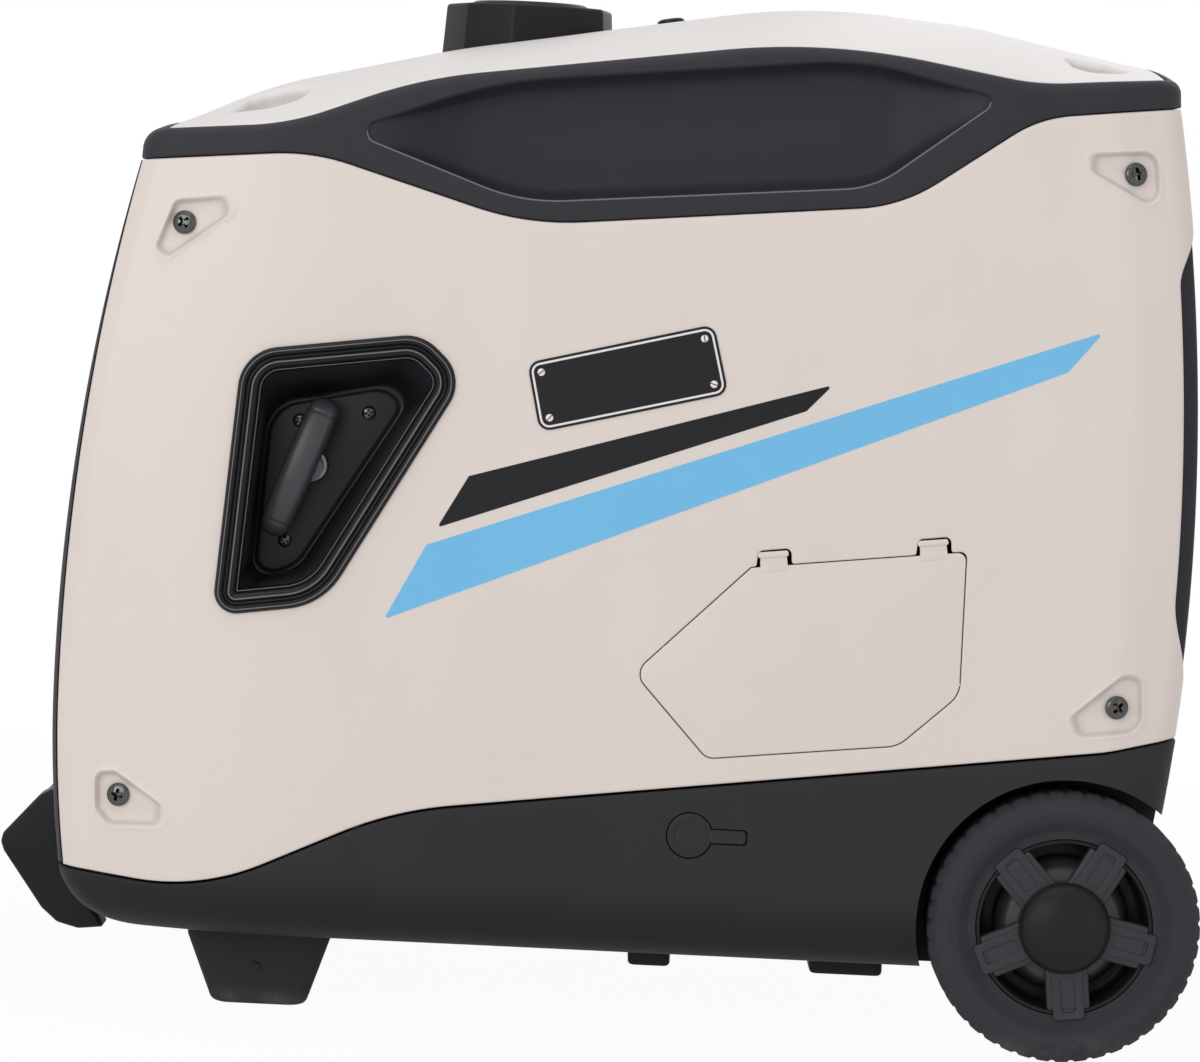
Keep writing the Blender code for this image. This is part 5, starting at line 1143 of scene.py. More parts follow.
piece("bezel_edges", bezel_edges(), painted_highlight_grey, sharp=80)
piece("recoil_bezel_skin", recoil_bezel(), gloss_black, nodes=["recoil_bezel"],
      sharp=50)
piece("recess_well", recess_well(), recess_black, sharp=50)
piece("rope_ferrule", rope_ferrule(), steel)
recess_places = [spun(aim((x, RECESS_FLOOR_Y - 0.0012, z), (0, -1, 0)), i) for i,
                 (x, z) in enumerate(RECESS_SCREWS)]
recess_screw_mesh = set_on(recess_places, screw_head(0.0036, 0.0020, True), dark_steel)
piece("recess_screws", recess_screw_mesh, dark_steel)

GRIP_TILT, GRIP_ASIDE, GRIP_WIDE, GRIP_LONG = math.radians(20.7), -0.0052, 0.0168, 0.0765


def recoil_grip():
    """Arched bar with a flattened section and a collar near each end, and the stem on the rope's end."""
    along = Vector((math.sin(GRIP_TILT), 0, math.cos(GRIP_TILT)))
    across = Vector((math.cos(GRIP_TILT), 0, -math.sin(GRIP_TILT)))
    turns = np.linspace(0, math.tau, 48, endpoint=False)
    shape = Shape()
    loops = []
    for a in np.linspace(-math.pi / 2, math.pi / 2, 141):
        t = math.sin(a)
        size = max(1 - abs(t) ** 14, 0.0004) ** 0.5 * (1.0 - 0.06 * t * t)
        size -= 0.05 * math.exp(-(((abs(t) - 0.80) / 0.018) ** 2))
        middle = Vector((ROPE_X + GRIP_ASIDE, PULL_FACE_Y + PULL_THICK / 2 + 0.007 * t * t, ROPE_Z))
        middle += along * (t * GRIP_LONG / 2)
        loop = []
        for turn in turns:
            c, s = math.cos(turn), math.sin(turn)
            r = size / (abs(c) ** 2.6 + abs(s) ** 2.6) ** (1 / 2.6)
            loop.append(middle + across * (r * c * GRIP_WIDE / 2) + Vector((0, r * s * PULL_THICK * 0.46, 0)))
        loops.append(loop)
    shape.loft(loops)
    place = aim((ROPE_X, PULL_FACE_Y + 0.006, ROPE_Z), (0, 1, 0))
    depth = RECESS_FLOOR_Y - 0.0035 - PULL_FACE_Y - 0.006
    stem = [(0, 0), (0.0072, 0), (0.0066, depth * 0.5), (0.0058, depth - 0.001), (0.0048, depth), (0, depth)]
    return shape.lathe(stem, place, 40)


piece("recoil_grip_skin", recoil_grip(), grey, "recoil_handle", ["recoil_grip"])


def starter_rope():
    """Rope from the pulley to the grip."""
    shape = Shape()
    turns = np.linspace(0, math.tau, 16, endpoint=False)
    loops = []
    for y in np.linspace(0.0, RECESS_FLOOR_Y - 0.004, 60):
        loops.append([(ROPE_X + ROPE_RADIUS * math.cos(a), y, ROPE_Z + ROPE_RADIUS * math.sin(a))
                      for a in turns])
    mesh = meshed(shape.loft(loops), "starter_rope_skin")
    mesh.materials.append(rope_fibre)
    mesh.shade_smooth()
    obj = bpy.data.objects.new("starter_rope_skin", mesh)
    bpy.context.scene.collection.objects.link(obj)
    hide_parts("starter_rope")
    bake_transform(obj)


starter_rope()

# ---------------------------------------------------------------- top band and cover


def corner_run(edge, sign, count=9):
    return [edge + sign * CORNER_RADIUS * (1 - math.cos(a)) for a in np.linspace(0, math.radians(78), count)]


def band_path():
    """Places round the top band as (x, y, outward x, outward y, side), and how many are on the near side."""
    first = float(front_x(LOW_LINE[1][0]))
    first = float(front_x(height(LOW_LINE, first)))
    rear = float(rear_x(height(LOW_LINE, REAR_X)))
    front_run, rear_run = corner_run(first, 1), corner_run(rear, -1)[::-1]
    middle = front_run[-1] + (rear_run[0] - front_run[-1]) * gathered_ends(210, 0.3)[1:-1]
    places = np.array([*front_run, *middle, *rear_run])
    near = np.stack([places, -half_width(places, height(LOW_LINE, places))], 1)
    shares = np.linspace(1, -1, 42)[1:-1]
    rear_bar = np.stack([np.full(40, near[-1, 0]), near[-1, 1] * shares], 1)
    front_bar = np.stack([np.full(40, near[0, 0]), -near[0, 1] * shares], 1)
    far = near[::-1] * np.array([1, -1])
    path = np.concatenate([near, rear_bar, far, front_bar])
    along = np.roll(path, -1, 0) - np.roll(path, 1, 0)
    along /= np.linalg.norm(along, axis=1)[:, None]
    outward = np.stack([along[:, 1], -along[:, 0]], 1)
    is_side = np.array([1.0] * len(near) + [0.0] * 40 + [1.0] * len(near) + [0.0] * 40)
    return path, outward, is_side, len(near)


BAND_PATH, BAND_OUT, BAND_SIDE, BAND_NEAR = band_path()
HOLD_ENDS = (HOLD_LOW[0][0], HOLD_LOW[-1][0])


def hold_depth(x):
    start, end = HOLD_ENDS
    return HOLD_DEPTH * smooth((x - start) / HOLD_RAMP) * smooth((end - x) / HOLD_RAMP)


def band_lean(z, low):
    return TUMBLE_IN * (((z - TUMBLE_Z) / TUMBLE_RISE) ** 2 - ((low - TUMBLE_Z) / TUMBLE_RISE) ** 2)


def end_round(out_x):
    """Rounding of the band's upper edge, larger along its front end."""
    return BAND_ROUND + (FRONT_ROUND - BAND_ROUND) * np.clip(-out_x, 0, 1) ** 2


def band_section(x, top, depth, turn):
    """Closed section of the band as (inward distance, height) pairs, with its upper edge rounded by turn."""
    low = float(height(LOW_LINE, x))
    shoulder = top - min(turn, top - low - 0.002)
    pairs = [(d, low + depth_in) for d,
             depth_in in ((0.0009, 0.0), (0.0004, 0.0002), (0.0001, 0.0005), (0.0, 0.0010))]
    pairs += [(0.0, z) for z in np.linspace(low + 0.001, shoulder, 9)[1:]]
    for a in np.linspace(0, math.pi / 2, 11)[1:-1]:
        pairs.append((turn * (1 - math.cos(a)), shoulder + (top - shoulder) * math.sin(a)))
    pairs += [(turn - 0.0005, top), (turn - 0.0001, top - 0.0002), (turn, top - 0.0006)]
    pairs += [(turn, top - WALL), (max(depth + WALL, turn), top - WALL - 0.001)]
    pairs += [(depth + WALL, low + 0.4 * (shoulder - low)), (depth + WALL, low + 0.002)]
    pairs += [(WALL + 0.0028, low + 0.001), (WALL + 0.0028, low - 0.006), (WALL + 0.0008, low - 0.006),
              (WALL + 0.0008, low)]
    return [(d + band_lean(min(z, shoulder), low), z) for d, z in pairs]


def band_body():
    loops = []
    for (x, y), (out_x, out_y), is_side in zip(BAND_PATH, BAND_OUT, BAND_SIDE):
        turn = float(end_round(out_x))
        reach = turn + band_lean(float(height(TOP_LINE, x)) - BAND_ROUND, float(height(LOW_LINE, x)))
        top = float(lid_height(x - out_x * reach, y - out_y * reach))
        depth = float(hold_depth(x)) * is_side
        loops.append([(x - out_x * d, y - out_y * d, z) for d, z in band_section(x, top, depth, turn)])
    return Shape().loft(loops, ring=True)


# Handhold from outside its mouth to its floor: step out, share of the way to its middle, share of its depth
HOLD_PROFILE = ((0.0026, 0.0, -0.0009), (0.0016, 0.0, 0.0), (0.0008, 0.0, 0.0005), (0.0003, 0.0, 0.0011),
                (0.0, 0.0, 0.0019),
                (0.0, 0.006, 0.12), (0.0, 0.020, 0.30), (0.0, 0.045, 0.50), (0.0, 0.085, 0.70),
                (0.0, 0.14, 0.85),
                (0.0, 0.22, 0.95), (0.0, 0.34, 1.0))
HOLD_LIP = 5  # rings of the profile that give a depth in metres


def handhold(side):
    """The pocket that is cut into the band."""
    corners = [*HOLD_LOW, *HOLD_TOP[::-1]]
    mouth = rounded(corners, HOLD_RADII, 14, fill=26)
    start, end = HOLD_ENDS
    centre_x = np.clip(mouth[:, 0], start + 0.036, end - 0.036)
    low = np.interp(centre_x, *line(HOLD_LOW, (0, 0.1, 0.052, 0)))
    high = np.interp(centre_x, *line(HOLD_TOP, (0, 0.229, 0.147, 0)))
    middle = np.stack([centre_x, (low + high) / 2], 1)
    rings = []
    for index, (out, share, deep) in enumerate(HOLD_PROFILE):
        loop = offset(mouth, out)
        loop = loop + (middle - loop) * share
        depth = deep if index < HOLD_LIP else HOLD_PROFILE[HOLD_LIP - 1][2] + deep * hold_depth(loop[:, 0])
        rings.append((loop, depth))
    shape = Shape()
    numbers = [shape.loop(skin(loop, side, depth)) for loop, depth in rings]
    shape.strip(numbers)
    last = rings[-1][0]
    grid = np.stack(np.meshgrid(np.arange(start, end, 0.004), np.arange(0.43, 0.51, 0.004)), -1).reshape(-1,
                                                                                                         2)
    for loop, ring, deep in ((last, numbers[-1], 1.0), (rings[0][0], numbers[0], None)):
        flat, triangles = triangulated([loop], grid)
        if deep is None:
            triangles = [face[::-1] for face in triangles]

        def floor(p, deep=deep):
            return skin(p, side, HOLD_PROFILE[0][2]
                        if deep is None else HOLD_PROFILE[HOLD_LIP - 1][2] + hold_depth(p[:, 0]))

        made = shape.sheet(flat, triangles, floor)
        shape.strip([ring, made[:len(loop)]])
    return shape


def top_band():
    return carved("top_band", band_body(), ("DIFFERENCE", handhold(-1)), ("DIFFERENCE", handhold(1)))


piece("top_band", top_band(), charcoal, nodes=["top_frame"], sharp=30)



def hold_edges():
    """Thin painted highlight along the lower lip of each handhold, from tip to tip."""
    shape = Shape()
    mouth = offset(rounded([*HOLD_LOW, *HOLD_TOP[::-1]], HOLD_RADII, 14, fill=26), 0.0006)
    run = np.concatenate([mouth[-34:], mouth[:160]])
    along = np.gradient(run, axis=0)
    across = np.stack([along[:, 1], -along[:, 0]], 1) / np.linalg.norm(along, axis=1)[:, None]
    sizes = 0.00048 * np.clip(np.minimum(np.arange(len(run)) + 1, len(run) - np.arange(len(run))) / 30, 0.05,
                              1)
    for side in (-1, 1):
        loops = []
        for place, out, size in zip(skin(run, side, 0.0006), across, sizes):
            loops.append([place + size * np.array([math.cos(a) * out[0], math.sin(a), math.cos(a) * out[1]])
                          for a in np.linspace(0, math.tau, 10, endpoint=False)])
        shape.loft(loops)
    return shape


piece("hold_edges", hold_edges(), painted_highlight_grey)

COVER_ROLL = 0.0014


def cover_edge(margin):
    reach = []
    for (x, y), (out_x, out_y) in zip(BAND_PATH[:BAND_NEAR], BAND_OUT[:BAND_NEAR]):
        lean = band_lean(float(height(TOP_LINE, x)) - BAND_ROUND, float(height(LOW_LINE, x)))
        d = float(end_round(out_x)) + lean + 2 * SEAM + margin
        reach.append((x - out_x * d, y - out_y * d))
    near = np.array(reach)
    corner = 14
    for run, order in ((slice(0, corner), 1), (slice(-corner, None), -1)):
        along, out = near[run, 0][::order] * order, near[run, 1][::order]
        near[run, 0] = np.maximum.accumulate(along)[::order] * order
        near[run, 1] = np.minimum.accumulate(out)[::order]
    near[:, 0] += np.arange(len(near)) * 1e-7
    far = near[::-1] * np.array([1, -1])
    shares = np.linspace(0, 1, 62)[1:-1, None]
    rear_end = near[-1] + (far[0] - near[-1]) * shares
    front_end = far[-1] + (near[0] - far[-1]) * shares
    return np.concatenate([near, rear_end, far, front_end])


DIMPLE_PROFILE = ((1.05, 0.0), (1.02, 0.0001), (0.99, 0.0005), (0.96, 0.0014), (0.92, 0.0028), (0.87, 0.0045),
                  (0.81, 0.0063), (0.74, 0.0078), (0.66, 0.0088), (0.57, 0.0094), (0.45, 0.0096))


def cap_well():
    """The round well for the filler cap, as rings from the cover's skin round to its inner side."""
    count = 96

    def ring(radius, z):
        return np.concatenate([circle((CAP_X, 0), radius, count), np.full((count, 1), z)], 1)

    edge = 0.0022
    rings = [lid(circle((CAP_X, 0), WELL_RADIUS + d, count), depth) for d, depth in roll(edge)[1:]]
    rings += [ring(WELL_RADIUS, WELL_FLOOR + 0.003), ring(WELL_RADIUS - 0.001, WELL_FLOOR + 0.0008),
              ring(WELL_RADIUS - 0.003, WELL_FLOOR), ring(NECK_RADIUS + 0.0006, WELL_FLOOR),
              ring(NECK_RADIUS + 0.0006, WELL_FLOOR - WALL), ring(WELL_RADIUS + WALL, WELL_FLOOR - WALL)]
    return circle((CAP_X, 0), WELL_RADIUS + edge, count), rings


def top_cover():
    rings = [lid(cover_edge(d), depth) for d, depth in roll(COVER_ROLL)[1:]]
    edge = (cover_edge(COVER_ROLL), [*rings, lid(cover_edge(0.0), WALL)])
    dents = []
    for side in (-1, 1):
        for corners, (x, y) in LID_DIMPLES:
            flat = [(px, side * py) for px, py in corners]
            dents.append(dent(flat, [0.009] * len(flat), (x, side * y), DIMPLE_PROFILE, lid))
    front, rear = edge[0][:, 0].min() + 0.002, edge[0][:, 0].max() - 0.002
    grid = np.meshgrid(np.linspace(front, rear, 130), np.linspace(-0.2, 0.2, 96))
    return moulding(edge, [cap_well()], dents, np.stack(grid, -1).reshape(-1, 2), lid)


cover_mesh = hollowed(top_cover(), "cover_skin", lambda p: lid_height(p[:, 0], p[:, 1]) - p[:, 2])
piece("cover_skin", cover_mesh, lid_cream_top_lit, nodes=["top_cover"])

# ---------------------------------------------------------------- base tray

TRAY_COLUMNS = 190
TRAY_ROWS = 30


def tray_column(share, t, thickness, raised):
    """One place on the tray's near half for a share along its length and a share of its height."""
    bottom = BASE_BOTTOM + thickness
    radius = BASE_ROLL - thickness
    x = FRONT_X + (REAR_X - FRONT_X) * share
    for _ in range(6):
        top = height(BASE_LINE, x) - SEAM + raised
        z = bottom + (top - bottom) * (1 - np.cos(t * math.pi / 2))
        first, last = front_x(z), rear_x(z)
        plain = first + (last - first) * share
        past = np.clip(radius - (z - bottom), 0, radius)
        drawn_in = thickness + radius - np.sqrt(radius**2 - past**2)
        x = first + drawn_in + (last - first - 2 * drawn_in) * share
    return x, drawn_in - half_width(plain, z), z


def tray_shares():
    length = REAR_X - FRONT_X
    corner = [CORNER_RADIUS * (1 - math.cos(a)) / length for a in np.linspace(0, math.radians(80), 9)]
    middle = corner[-1] + (1 - 2 * corner[-1]) * gathered_ends(TRAY_COLUMNS, 0.25)[1:-1]
    return np.array([*corner, *middle, *[1 - c for c in corner[::-1]]])


def both_sides(near):
    """A closed loop from its near half, with points across both ends."""
    far = near[::-1] * np.array([1, -1, 1])
    shares = np.linspace(0, 1, 26)[1:-1, None]
    return np.concatenate([near, near[-1] + (far[0] - near[-1]) * shares, far,
                           far[-1] + (near[0] - far[-1]) * shares])


def tray_solid(thickness, raised):
    shares = tray_shares()
    loops = []
    for t in np.linspace(0, 1, TRAY_ROWS):
        loops.append(both_sides(np.stack(tray_column(shares, t, thickness, raised), 1)))
    if not raised:
        edge = loops[-1]
        loops[-1] = edge - np.array([0, 0, 0.0012])
        for within, drop in ((0.0002, 0.0006), (0.0006, 0.0002), (0.0012, 0.0), (0.0045, 0.0)):
            loops.append(np.column_stack([offset(edge[:, :2], -within), edge[:, 2] - drop]))
    return Shape().loft(loops)


def wheel_space(side, radius, face):
    place = aim((WHEEL_X, 0, TYRE_RADIUS), (0, side, 0))
    return Shape().lathe([(0, face), (radius, face), (radius, 0.3), (0, 0.3)], place, 160)


def keyhole_loop(margin, count=40):
    """Outline (x, z) of the plug: a disc with a tab on its rear side."""
    x, z = PLUG
    radius, tab = PLUG_RADIUS + margin, PLUG_TAB + margin
    start = math.asin(tab / radius)
    turns = np.linspace(start, math.tau - start, count)
    disc = [(x + radius * math.cos(a), z + radius * math.sin(a)) for a in turns]
    reach = PLUG_TAB_X + margin
    soft = min(0.002, tab * 0.8)
    end = [(reach - soft * (1 - math.sin(a)), z - tab + soft * (1 - math.cos(a)))
           for a in np.linspace(0, math.pi / 2, 6)]
    return np.array([*disc, *end, *[(px, 2 * z - pz) for px, pz in end[::-1]]])


def base_tray():
    inner = carved("tray_inside", tray_solid(WALL, 0.02),
                   *[("DIFFERENCE", wheel_space(side, TYRE_RADIUS + ARCH_CLEARANCE + WALL, WELL_FACE - WALL))
                     for side in (-1, 1)])
    plug_cut = Shape().loft([[(x, y, z) for x, z in keyhole_loop(0.0006)]
                             for y in (-HALF_WIDTH - 0.01, -HALF_WIDTH + 0.01)])
    tray = carved("base_tray_skin", tray_solid(0.0, 0.0), ("DIFFERENCE", inner),
                  *[("DIFFERENCE", wheel_space(side, TYRE_RADIUS + ARCH_CLEARANCE, WELL_FACE))
                    for side in (-1, 1)],
                  ("DIFFERENCE", plug_cut))
    return tray


piece("base_tray_skin", base_tray(), dark, nodes=["base_tray"], sharp=32)


def tray_pads():
    """Small moulded pads under the tray."""
    shape = Shape()
    for side in (-1, 1):
        for start, end in PAD_SPANS:
            corners = [(start, side * PAD_Y[0]), (end, side * PAD_Y[0]), (end, side * PAD_Y[1]),
                       (start, side * PAD_Y[1])]
            loops = []
            for d, depth in (*roll(0.0022, 5), (0.0, PAD_DROP + 0.001)):
                loops.append([(x, y, BASE_BOTTOM - PAD_DROP + depth) for x,
                              y in outline_of(corners, [0.004] * 4, d, 5)])
            shape.loft(loops)
    return shape


piece("tray_pads", tray_pads(), dark)


def base_plug():
    loops = []
    for d, depth in (*roll(0.0009, 5), (0.0, WALL)):
        loops.append([(x, -HALF_WIDTH - 0.0004 + depth, z) for x, z in keyhole_loop(-d)])
    shape = Shape().loft(loops)
    place = aim((PLUG[0], -HALF_WIDTH - 0.0004, PLUG[1]), (0, -1, 0))
    ring = [(0.0078, -0.0005), (0.0078, 0.0002), (0.0082, 0.0005), (0.0088, 0.0005), (0.0092, 0.0002),
            (0.0092, -0.0005)]
    return shape.lathe(ring, place, 64)


piece("base_plug_skin", base_plug(), plug_rubber, "base_plug", ["base_plug"])


def foot(side):
    """Rubber foot with rounded edges and a moulded gate mark."""
    y0, y1 = FOOT_Y
    corner = 0.0075
    levels = [(0.0035 * (1 - math.cos(a)), 0.0035 * (1 - math.sin(a)))
              for a in np.linspace(0, math.pi / 2, 6)]
    loops = []
    for z, drawn_in in [*levels, *[(0.0035 + (FOOT_LEVEL - 0.0035) * k / 6, 0.0) for k in range(1, 7)],
                        (BASE_BOTTOM + 0.002, 0.0)]:
        share = min(z / FOOT_LEVEL, 1.0)
        x0, x1 = [b + (t - b) * share for b, t in zip(FOOT_BOTTOM, FOOT_TOP)]
        taper = FOOT_TAPER * (1 - share) + drawn_in
        corners = [(x0 + drawn_in, y0 + taper), (x1 - drawn_in, y0 + taper), (x1 - drawn_in, y1 - taper),
                   (x0 + drawn_in, y1 - taper)]
        loops.append([(x, side * y, z) for x, y in rounded(corners, [corner] * 4, 8, fill=6)])
    shape = Shape().loft(loops)
    place = aim((-0.174, side * (y1 - 0.0012), 0.021), (0, side, 0))
    return shape.lathe([(0, -0.001), (0.0021, -0.001), (0.0021, 0.0006), (0.0016, 0.0011), (0, 0.0012)],
                       place, 24)


for foot_side, foot_label in ((-1, "near"), (1, "far")):
    piece(f"foot_{foot_label}_skin", foot(foot_side), foot_rubber, nodes=[f"foot_{foot_label}"])

# ---------------------------------------------------------------- wheels

TREAD_LUGS = 45
LUG_DEPTH = 0.0010


def tyre(place):
    low, high = TYRE_FACES
    bore, tread = TYRE_BORE, TYRE_RADIUS
    corners = ((bore, low + 0.0065), (bore, HUB_FACE - TOE_THICK - GAP),
               (bore + 0.0040, HUB_FACE - TOE_THICK - GAP),
               (bore + 0.0095, high - 0.0012), (tread - 0.010, high), (tread - 0.0040, high - 0.0022),
               (tread, high - 0.0085), (tread, low + 0.0085), (tread - 0.0040, low + 0.0022),
               (tread - 0.010, low),
               (bore + 0.004, low + 0.004))
    radii = (0.001, 0.0004, 0.002, 0.006, 0.004, 0.005, 0.004, 0.004, 0.005, 0.004, 0.002)
    profile = [tuple(p) for p in rounded(corners, radii, 4, fill=2)]
    steps = TREAD_LUGS * 10
    centre = (low + high) / 2

    def lugs(index, radius, along, turns):
        near_edge = np.clip((radius - (tread - 0.0040)) / 0.0028, 0, 1)
        half_turn = 0.5 if along > centre else 0.0
        wave = np.mod(turns / math.tau * TREAD_LUGS + half_turn, 1.0)
        groove = smooth((np.abs(wave - 0.5) - 0.36) / 0.06)
        middle = 1.0 if abs(along - centre) > 0.003 else 0.25
        return radius - LUG_DEPTH * near_edge * middle * groove

    return Shape().lathe(profile, place, steps, lugs)


def hub_bowl(place):
    rim = TYRE_BORE - GAP
    floor = HUB_FACE - BOWL_DEPTH
    corners = ((AXLE_RADIUS + GAP, floor - 0.014), (AXLE_RADIUS + GAP, HUB_FACE - 0.0008),
               (0.0215, HUB_FACE - 0.0008),
               (0.0225, HUB_FACE - 0.009), (DRUM_RADIUS - 0.004, HUB_FACE - 0.0105), (DRUM_RADIUS, floor),
               (rim - RIM - 0.001, floor), (rim - RIM, HUB_FACE - 0.0016), (rim, HUB_FACE - 0.0016),
               (rim, TYRE_FACES[0] + 0.007), (rim - 0.003, floor - 0.003), (0.020, floor - 0.003),
               (0.017, floor - 0.014))
    radii = (0, 0, 0.001, 0.003, 0.004, 0.003, 0.003, 0.0008, 0.0008, 0.001, 0.002, 0.002, 0.002)
    return Shape().lathe([tuple(p) for p in rounded(corners, radii, 5)], place, 144)


def hub_drum(place):
    """Ring over the drum in the middle of the bowl, lighter as painted light."""
    floor = HUB_FACE - BOWL_DEPTH
    corners = ((0.0216, HUB_FACE - 0.003), (0.0231, HUB_FACE - 0.0088),
               (DRUM_RADIUS - 0.0042, HUB_FACE - 0.0101),
               (DRUM_RADIUS + 0.0003, floor + 0.004), (DRUM_RADIUS - 0.0012, floor + 0.004),
               (DRUM_RADIUS - 0.0055, HUB_FACE - 0.0116), (0.0222, HUB_FACE - 0.0104),
               (0.0206, HUB_FACE - 0.003))
    radii = (0.0003, 0.003, 0.004, 0.0004, 0.0004, 0.003, 0.002, 0.0003)
    return Shape().lathe([tuple(p) for p in rounded(corners, radii, 5)], place, 144)


SPOKE_SLOT = ((0.0258, -0.0036), (0.0438, -0.0036), (0.0438, 0.0036), (0.0258, 0.0036))


def spoke(place, out, across):
    """One spoke: a bar with rounded edges, a long inset in its face and a toe over the tyre's edge."""
    shape = Shape()

    def at(u, v, h):
        return place @ (out * u + across * v + Vector((0, 0, h)))

    end = math.sqrt((TYRE_BORE - GAP - RIM / 4) ** 2 - (SPOKE_WIDTH / 2) ** 2)
    half, toe = SPOKE_WIDTH / 2, TOE_WIDTH / 2
    bar = [(0.014, -half), (end - 0.001, -half), (end - 0.001, half), (0.014, half)]
    shape.loft([[at(u, v, HUB_FACE + h) for u, v in outline_of(bar, [0.0016] * 4, d, 6, 8)]
                for d, h in ((0.0, -SPOKE_THICK), (0.0, -0.0014), (0.0003, -0.0009), (0.0010, -0.00055),
                             (0.0018, -0.0005))])
    plate = [(0.016, -toe - 0.0002), (TOE_REACH, -toe), (TOE_REACH, toe), (0.016, toe + 0.0002)]
    rolled = roll(0.0007, 4)
    rings = [[at(u, v, HUB_FACE - TOE_THICK + 0.0002) for u, v in outline_of(plate, [0.0022] * 4, 0.0, 6, 8)]]
    rings += [[at(u, v, HUB_FACE + 0.0002 - depth) for u, v in outline_of(plate, [0.0022] * 4, d, 6, 8)]
              for d, depth in rolled[::-1]]
    rings += [[at(u, v, HUB_FACE + 0.0002 - depth) for u,
               v in outline_of(SPOKE_SLOT, [0.0014] * 4, -d, 6, 8)] for d, depth in rolled]
    rings += [[at(u, v, HUB_FACE - 0.0034) for u, v in outline_of(SPOKE_SLOT, [0.0014] * 4, 0.0006, 6, 8)]]
    return shape.loft(rings)


def slot_shade_floor(place, out, across):
    """Dark floor of the inset in a spoke's face, as painted shade in the slot."""
    flat = outline_of(SPOKE_SLOT, [0.0014] * 4, 0.0004, 6)
    return Shape().loft([[place @ (out * u + across * v + Vector((0, 0, HUB_FACE + h))) for u, v in flat]
                         for h in (-0.0042, -0.0030)])


def round_wheel(part, place, side):
    """One part of a spoke at each of the wheel's spokes."""
    shape = Shape()
    for k in range(SPOKES):
        angle = math.tau * k / SPOKES - side * SPOKE_LEAN
        out = place.to_3x3().inverted() @ Vector((-side * math.sin(angle), 0, -math.cos(angle)))
        shape.add(part(place, out, Vector((-out.y, out.x, 0))))
    return shape


def hub_cap(place):
    base, rise = HUB_FACE + GAP, HUB_CAP_FACE - HUB_FACE - GAP
    lip = [(HUB_CAP_RADIUS - 0.0012, base - 0.0006), (HUB_CAP_RADIUS, base), (HUB_CAP_RADIUS, base + 0.0008)]
    dome = [(HUB_CAP_RADIUS * math.cos(a), base + 0.0008 + (rise - 0.0008) * math.sin(a))
            for a in np.linspace(0.06, math.pi / 2, 22)[:-1]]
    return Shape().lathe([(0, base - 0.0006), *lip, *dome, (0, base + rise)], place, 96)


for wheel_side, wheel_label in ((-1, "near"), (1, "far")):
    wheel_place = aim((WHEEL_X, 0, TYRE_RADIUS), (0, wheel_side, 0))
    wheel_body = f"{wheel_label}_wheel"
    piece(f"tyre_{wheel_label}_skin", tyre(wheel_place), tyre_rubber, wheel_body, [f"tyre_{wheel_label}"])
    piece(f"hub_{wheel_label}_bowl", hub_bowl(wheel_place), hub_dark, wheel_body,
          [f"wheel_hub_{wheel_label}"])
    piece(f"hub_{wheel_label}_drum", hub_drum(wheel_place), drum_painted_light_grey, wheel_body)
    spokes, slot_shade_floors = [round_wheel(part, wheel_place, wheel_side) for part in (spoke, slot_shade_floor)]
    piece(f"hub_{wheel_label}_spokes", spokes, spoke_grey, wheel_body)
    # Dark slot floors: painted shade in the spokes' insets.
    piece(f"hub_{wheel_label}_slots", slot_shade_floors, hub_dark, wheel_body)
    piece(f"hub_{wheel_label}_cap", hub_cap(wheel_place), hub_dark, wheel_body, [f"hub_cap_{wheel_label}"])

# ---------------------------------------------------------------- pull handle


def pull_grip():
    """Two legs and the crossbar of the stowed pull handle, with rounded edges."""
    shape = Shape()
    half = LEG_WIDTH / 2
    leg_radii = [0.0025, 0.006, 0.004, 0.003, 0.004, 0.008, 0.006, 0.006, 0.001, 0.002, 0.008, 0.008, 0.006,
                 0.001]
    for side in (-1, 1):
        loops = []
        rolled = roll(0.0035, 6)
        for d, depth in rolled:
            loops.append((d, -half + depth))
        for d, depth in rolled[::-1]:
            loops.append((d, half - depth))
        shape.loft([[(x, side * TUBE_Y + y, z) for x, z in outline_of(LEG, leg_radii, d * 0.55, 5, 2)] for d,
                    y in loops])
    bar_radii = [0.005, 0.004, 0.003, 0.004, 0.005, 0.0015, 0.0015]
    reach = TUBE_Y - half + 0.004
    outline = outline_of(CROSSBAR, bar_radii, 0.0, 6, 2)
    shape.loft([[(x, y, z) for x, z in outline] for y in np.linspace(-reach, reach, 12)])
    return shape


piece("pull_grip_skin", pull_grip(), black, "pull_handle", ["pull_grip"])

# ---------------------------------------------------------------- filler cap and gauge


def fuel_cap():
    low = CAP_RADIUS + CAP_DRAFT
    inner = NECK_RADIUS + 0.004
    corners = ((0, CAP_BASE + CAP_HOLLOW), (inner, CAP_BASE + CAP_HOLLOW), (inner + 0.001, CAP_BASE),
               (low, CAP_BASE),
               (CAP_RADIUS, CAP_TOP), (0.036, CAP_TOP), (0, CAP_TOP))
    radii = (0, 0.001, 0.0008, 0.0015, 0.0022, 0.001, 0)
    profile = [tuple(p) for p in rounded(corners, radii, 6, closed=False, fill=3)]

    def lobes(index, radius, z, turns):
        step = math.tau / CAP_LOBES
        aside = np.mod(turns - CAP_TURN, step) - step / 2
        flat = 1 - math.cos(step / 2) / np.cos(aside)
        return radius * (1 - 0.85 * flat * np.clip((radius - 0.036) / 0.006, 0, 1))

    return Shape().lathe(profile, Matrix.Translation((CAP_X, 0, 0)), 280, lobes)


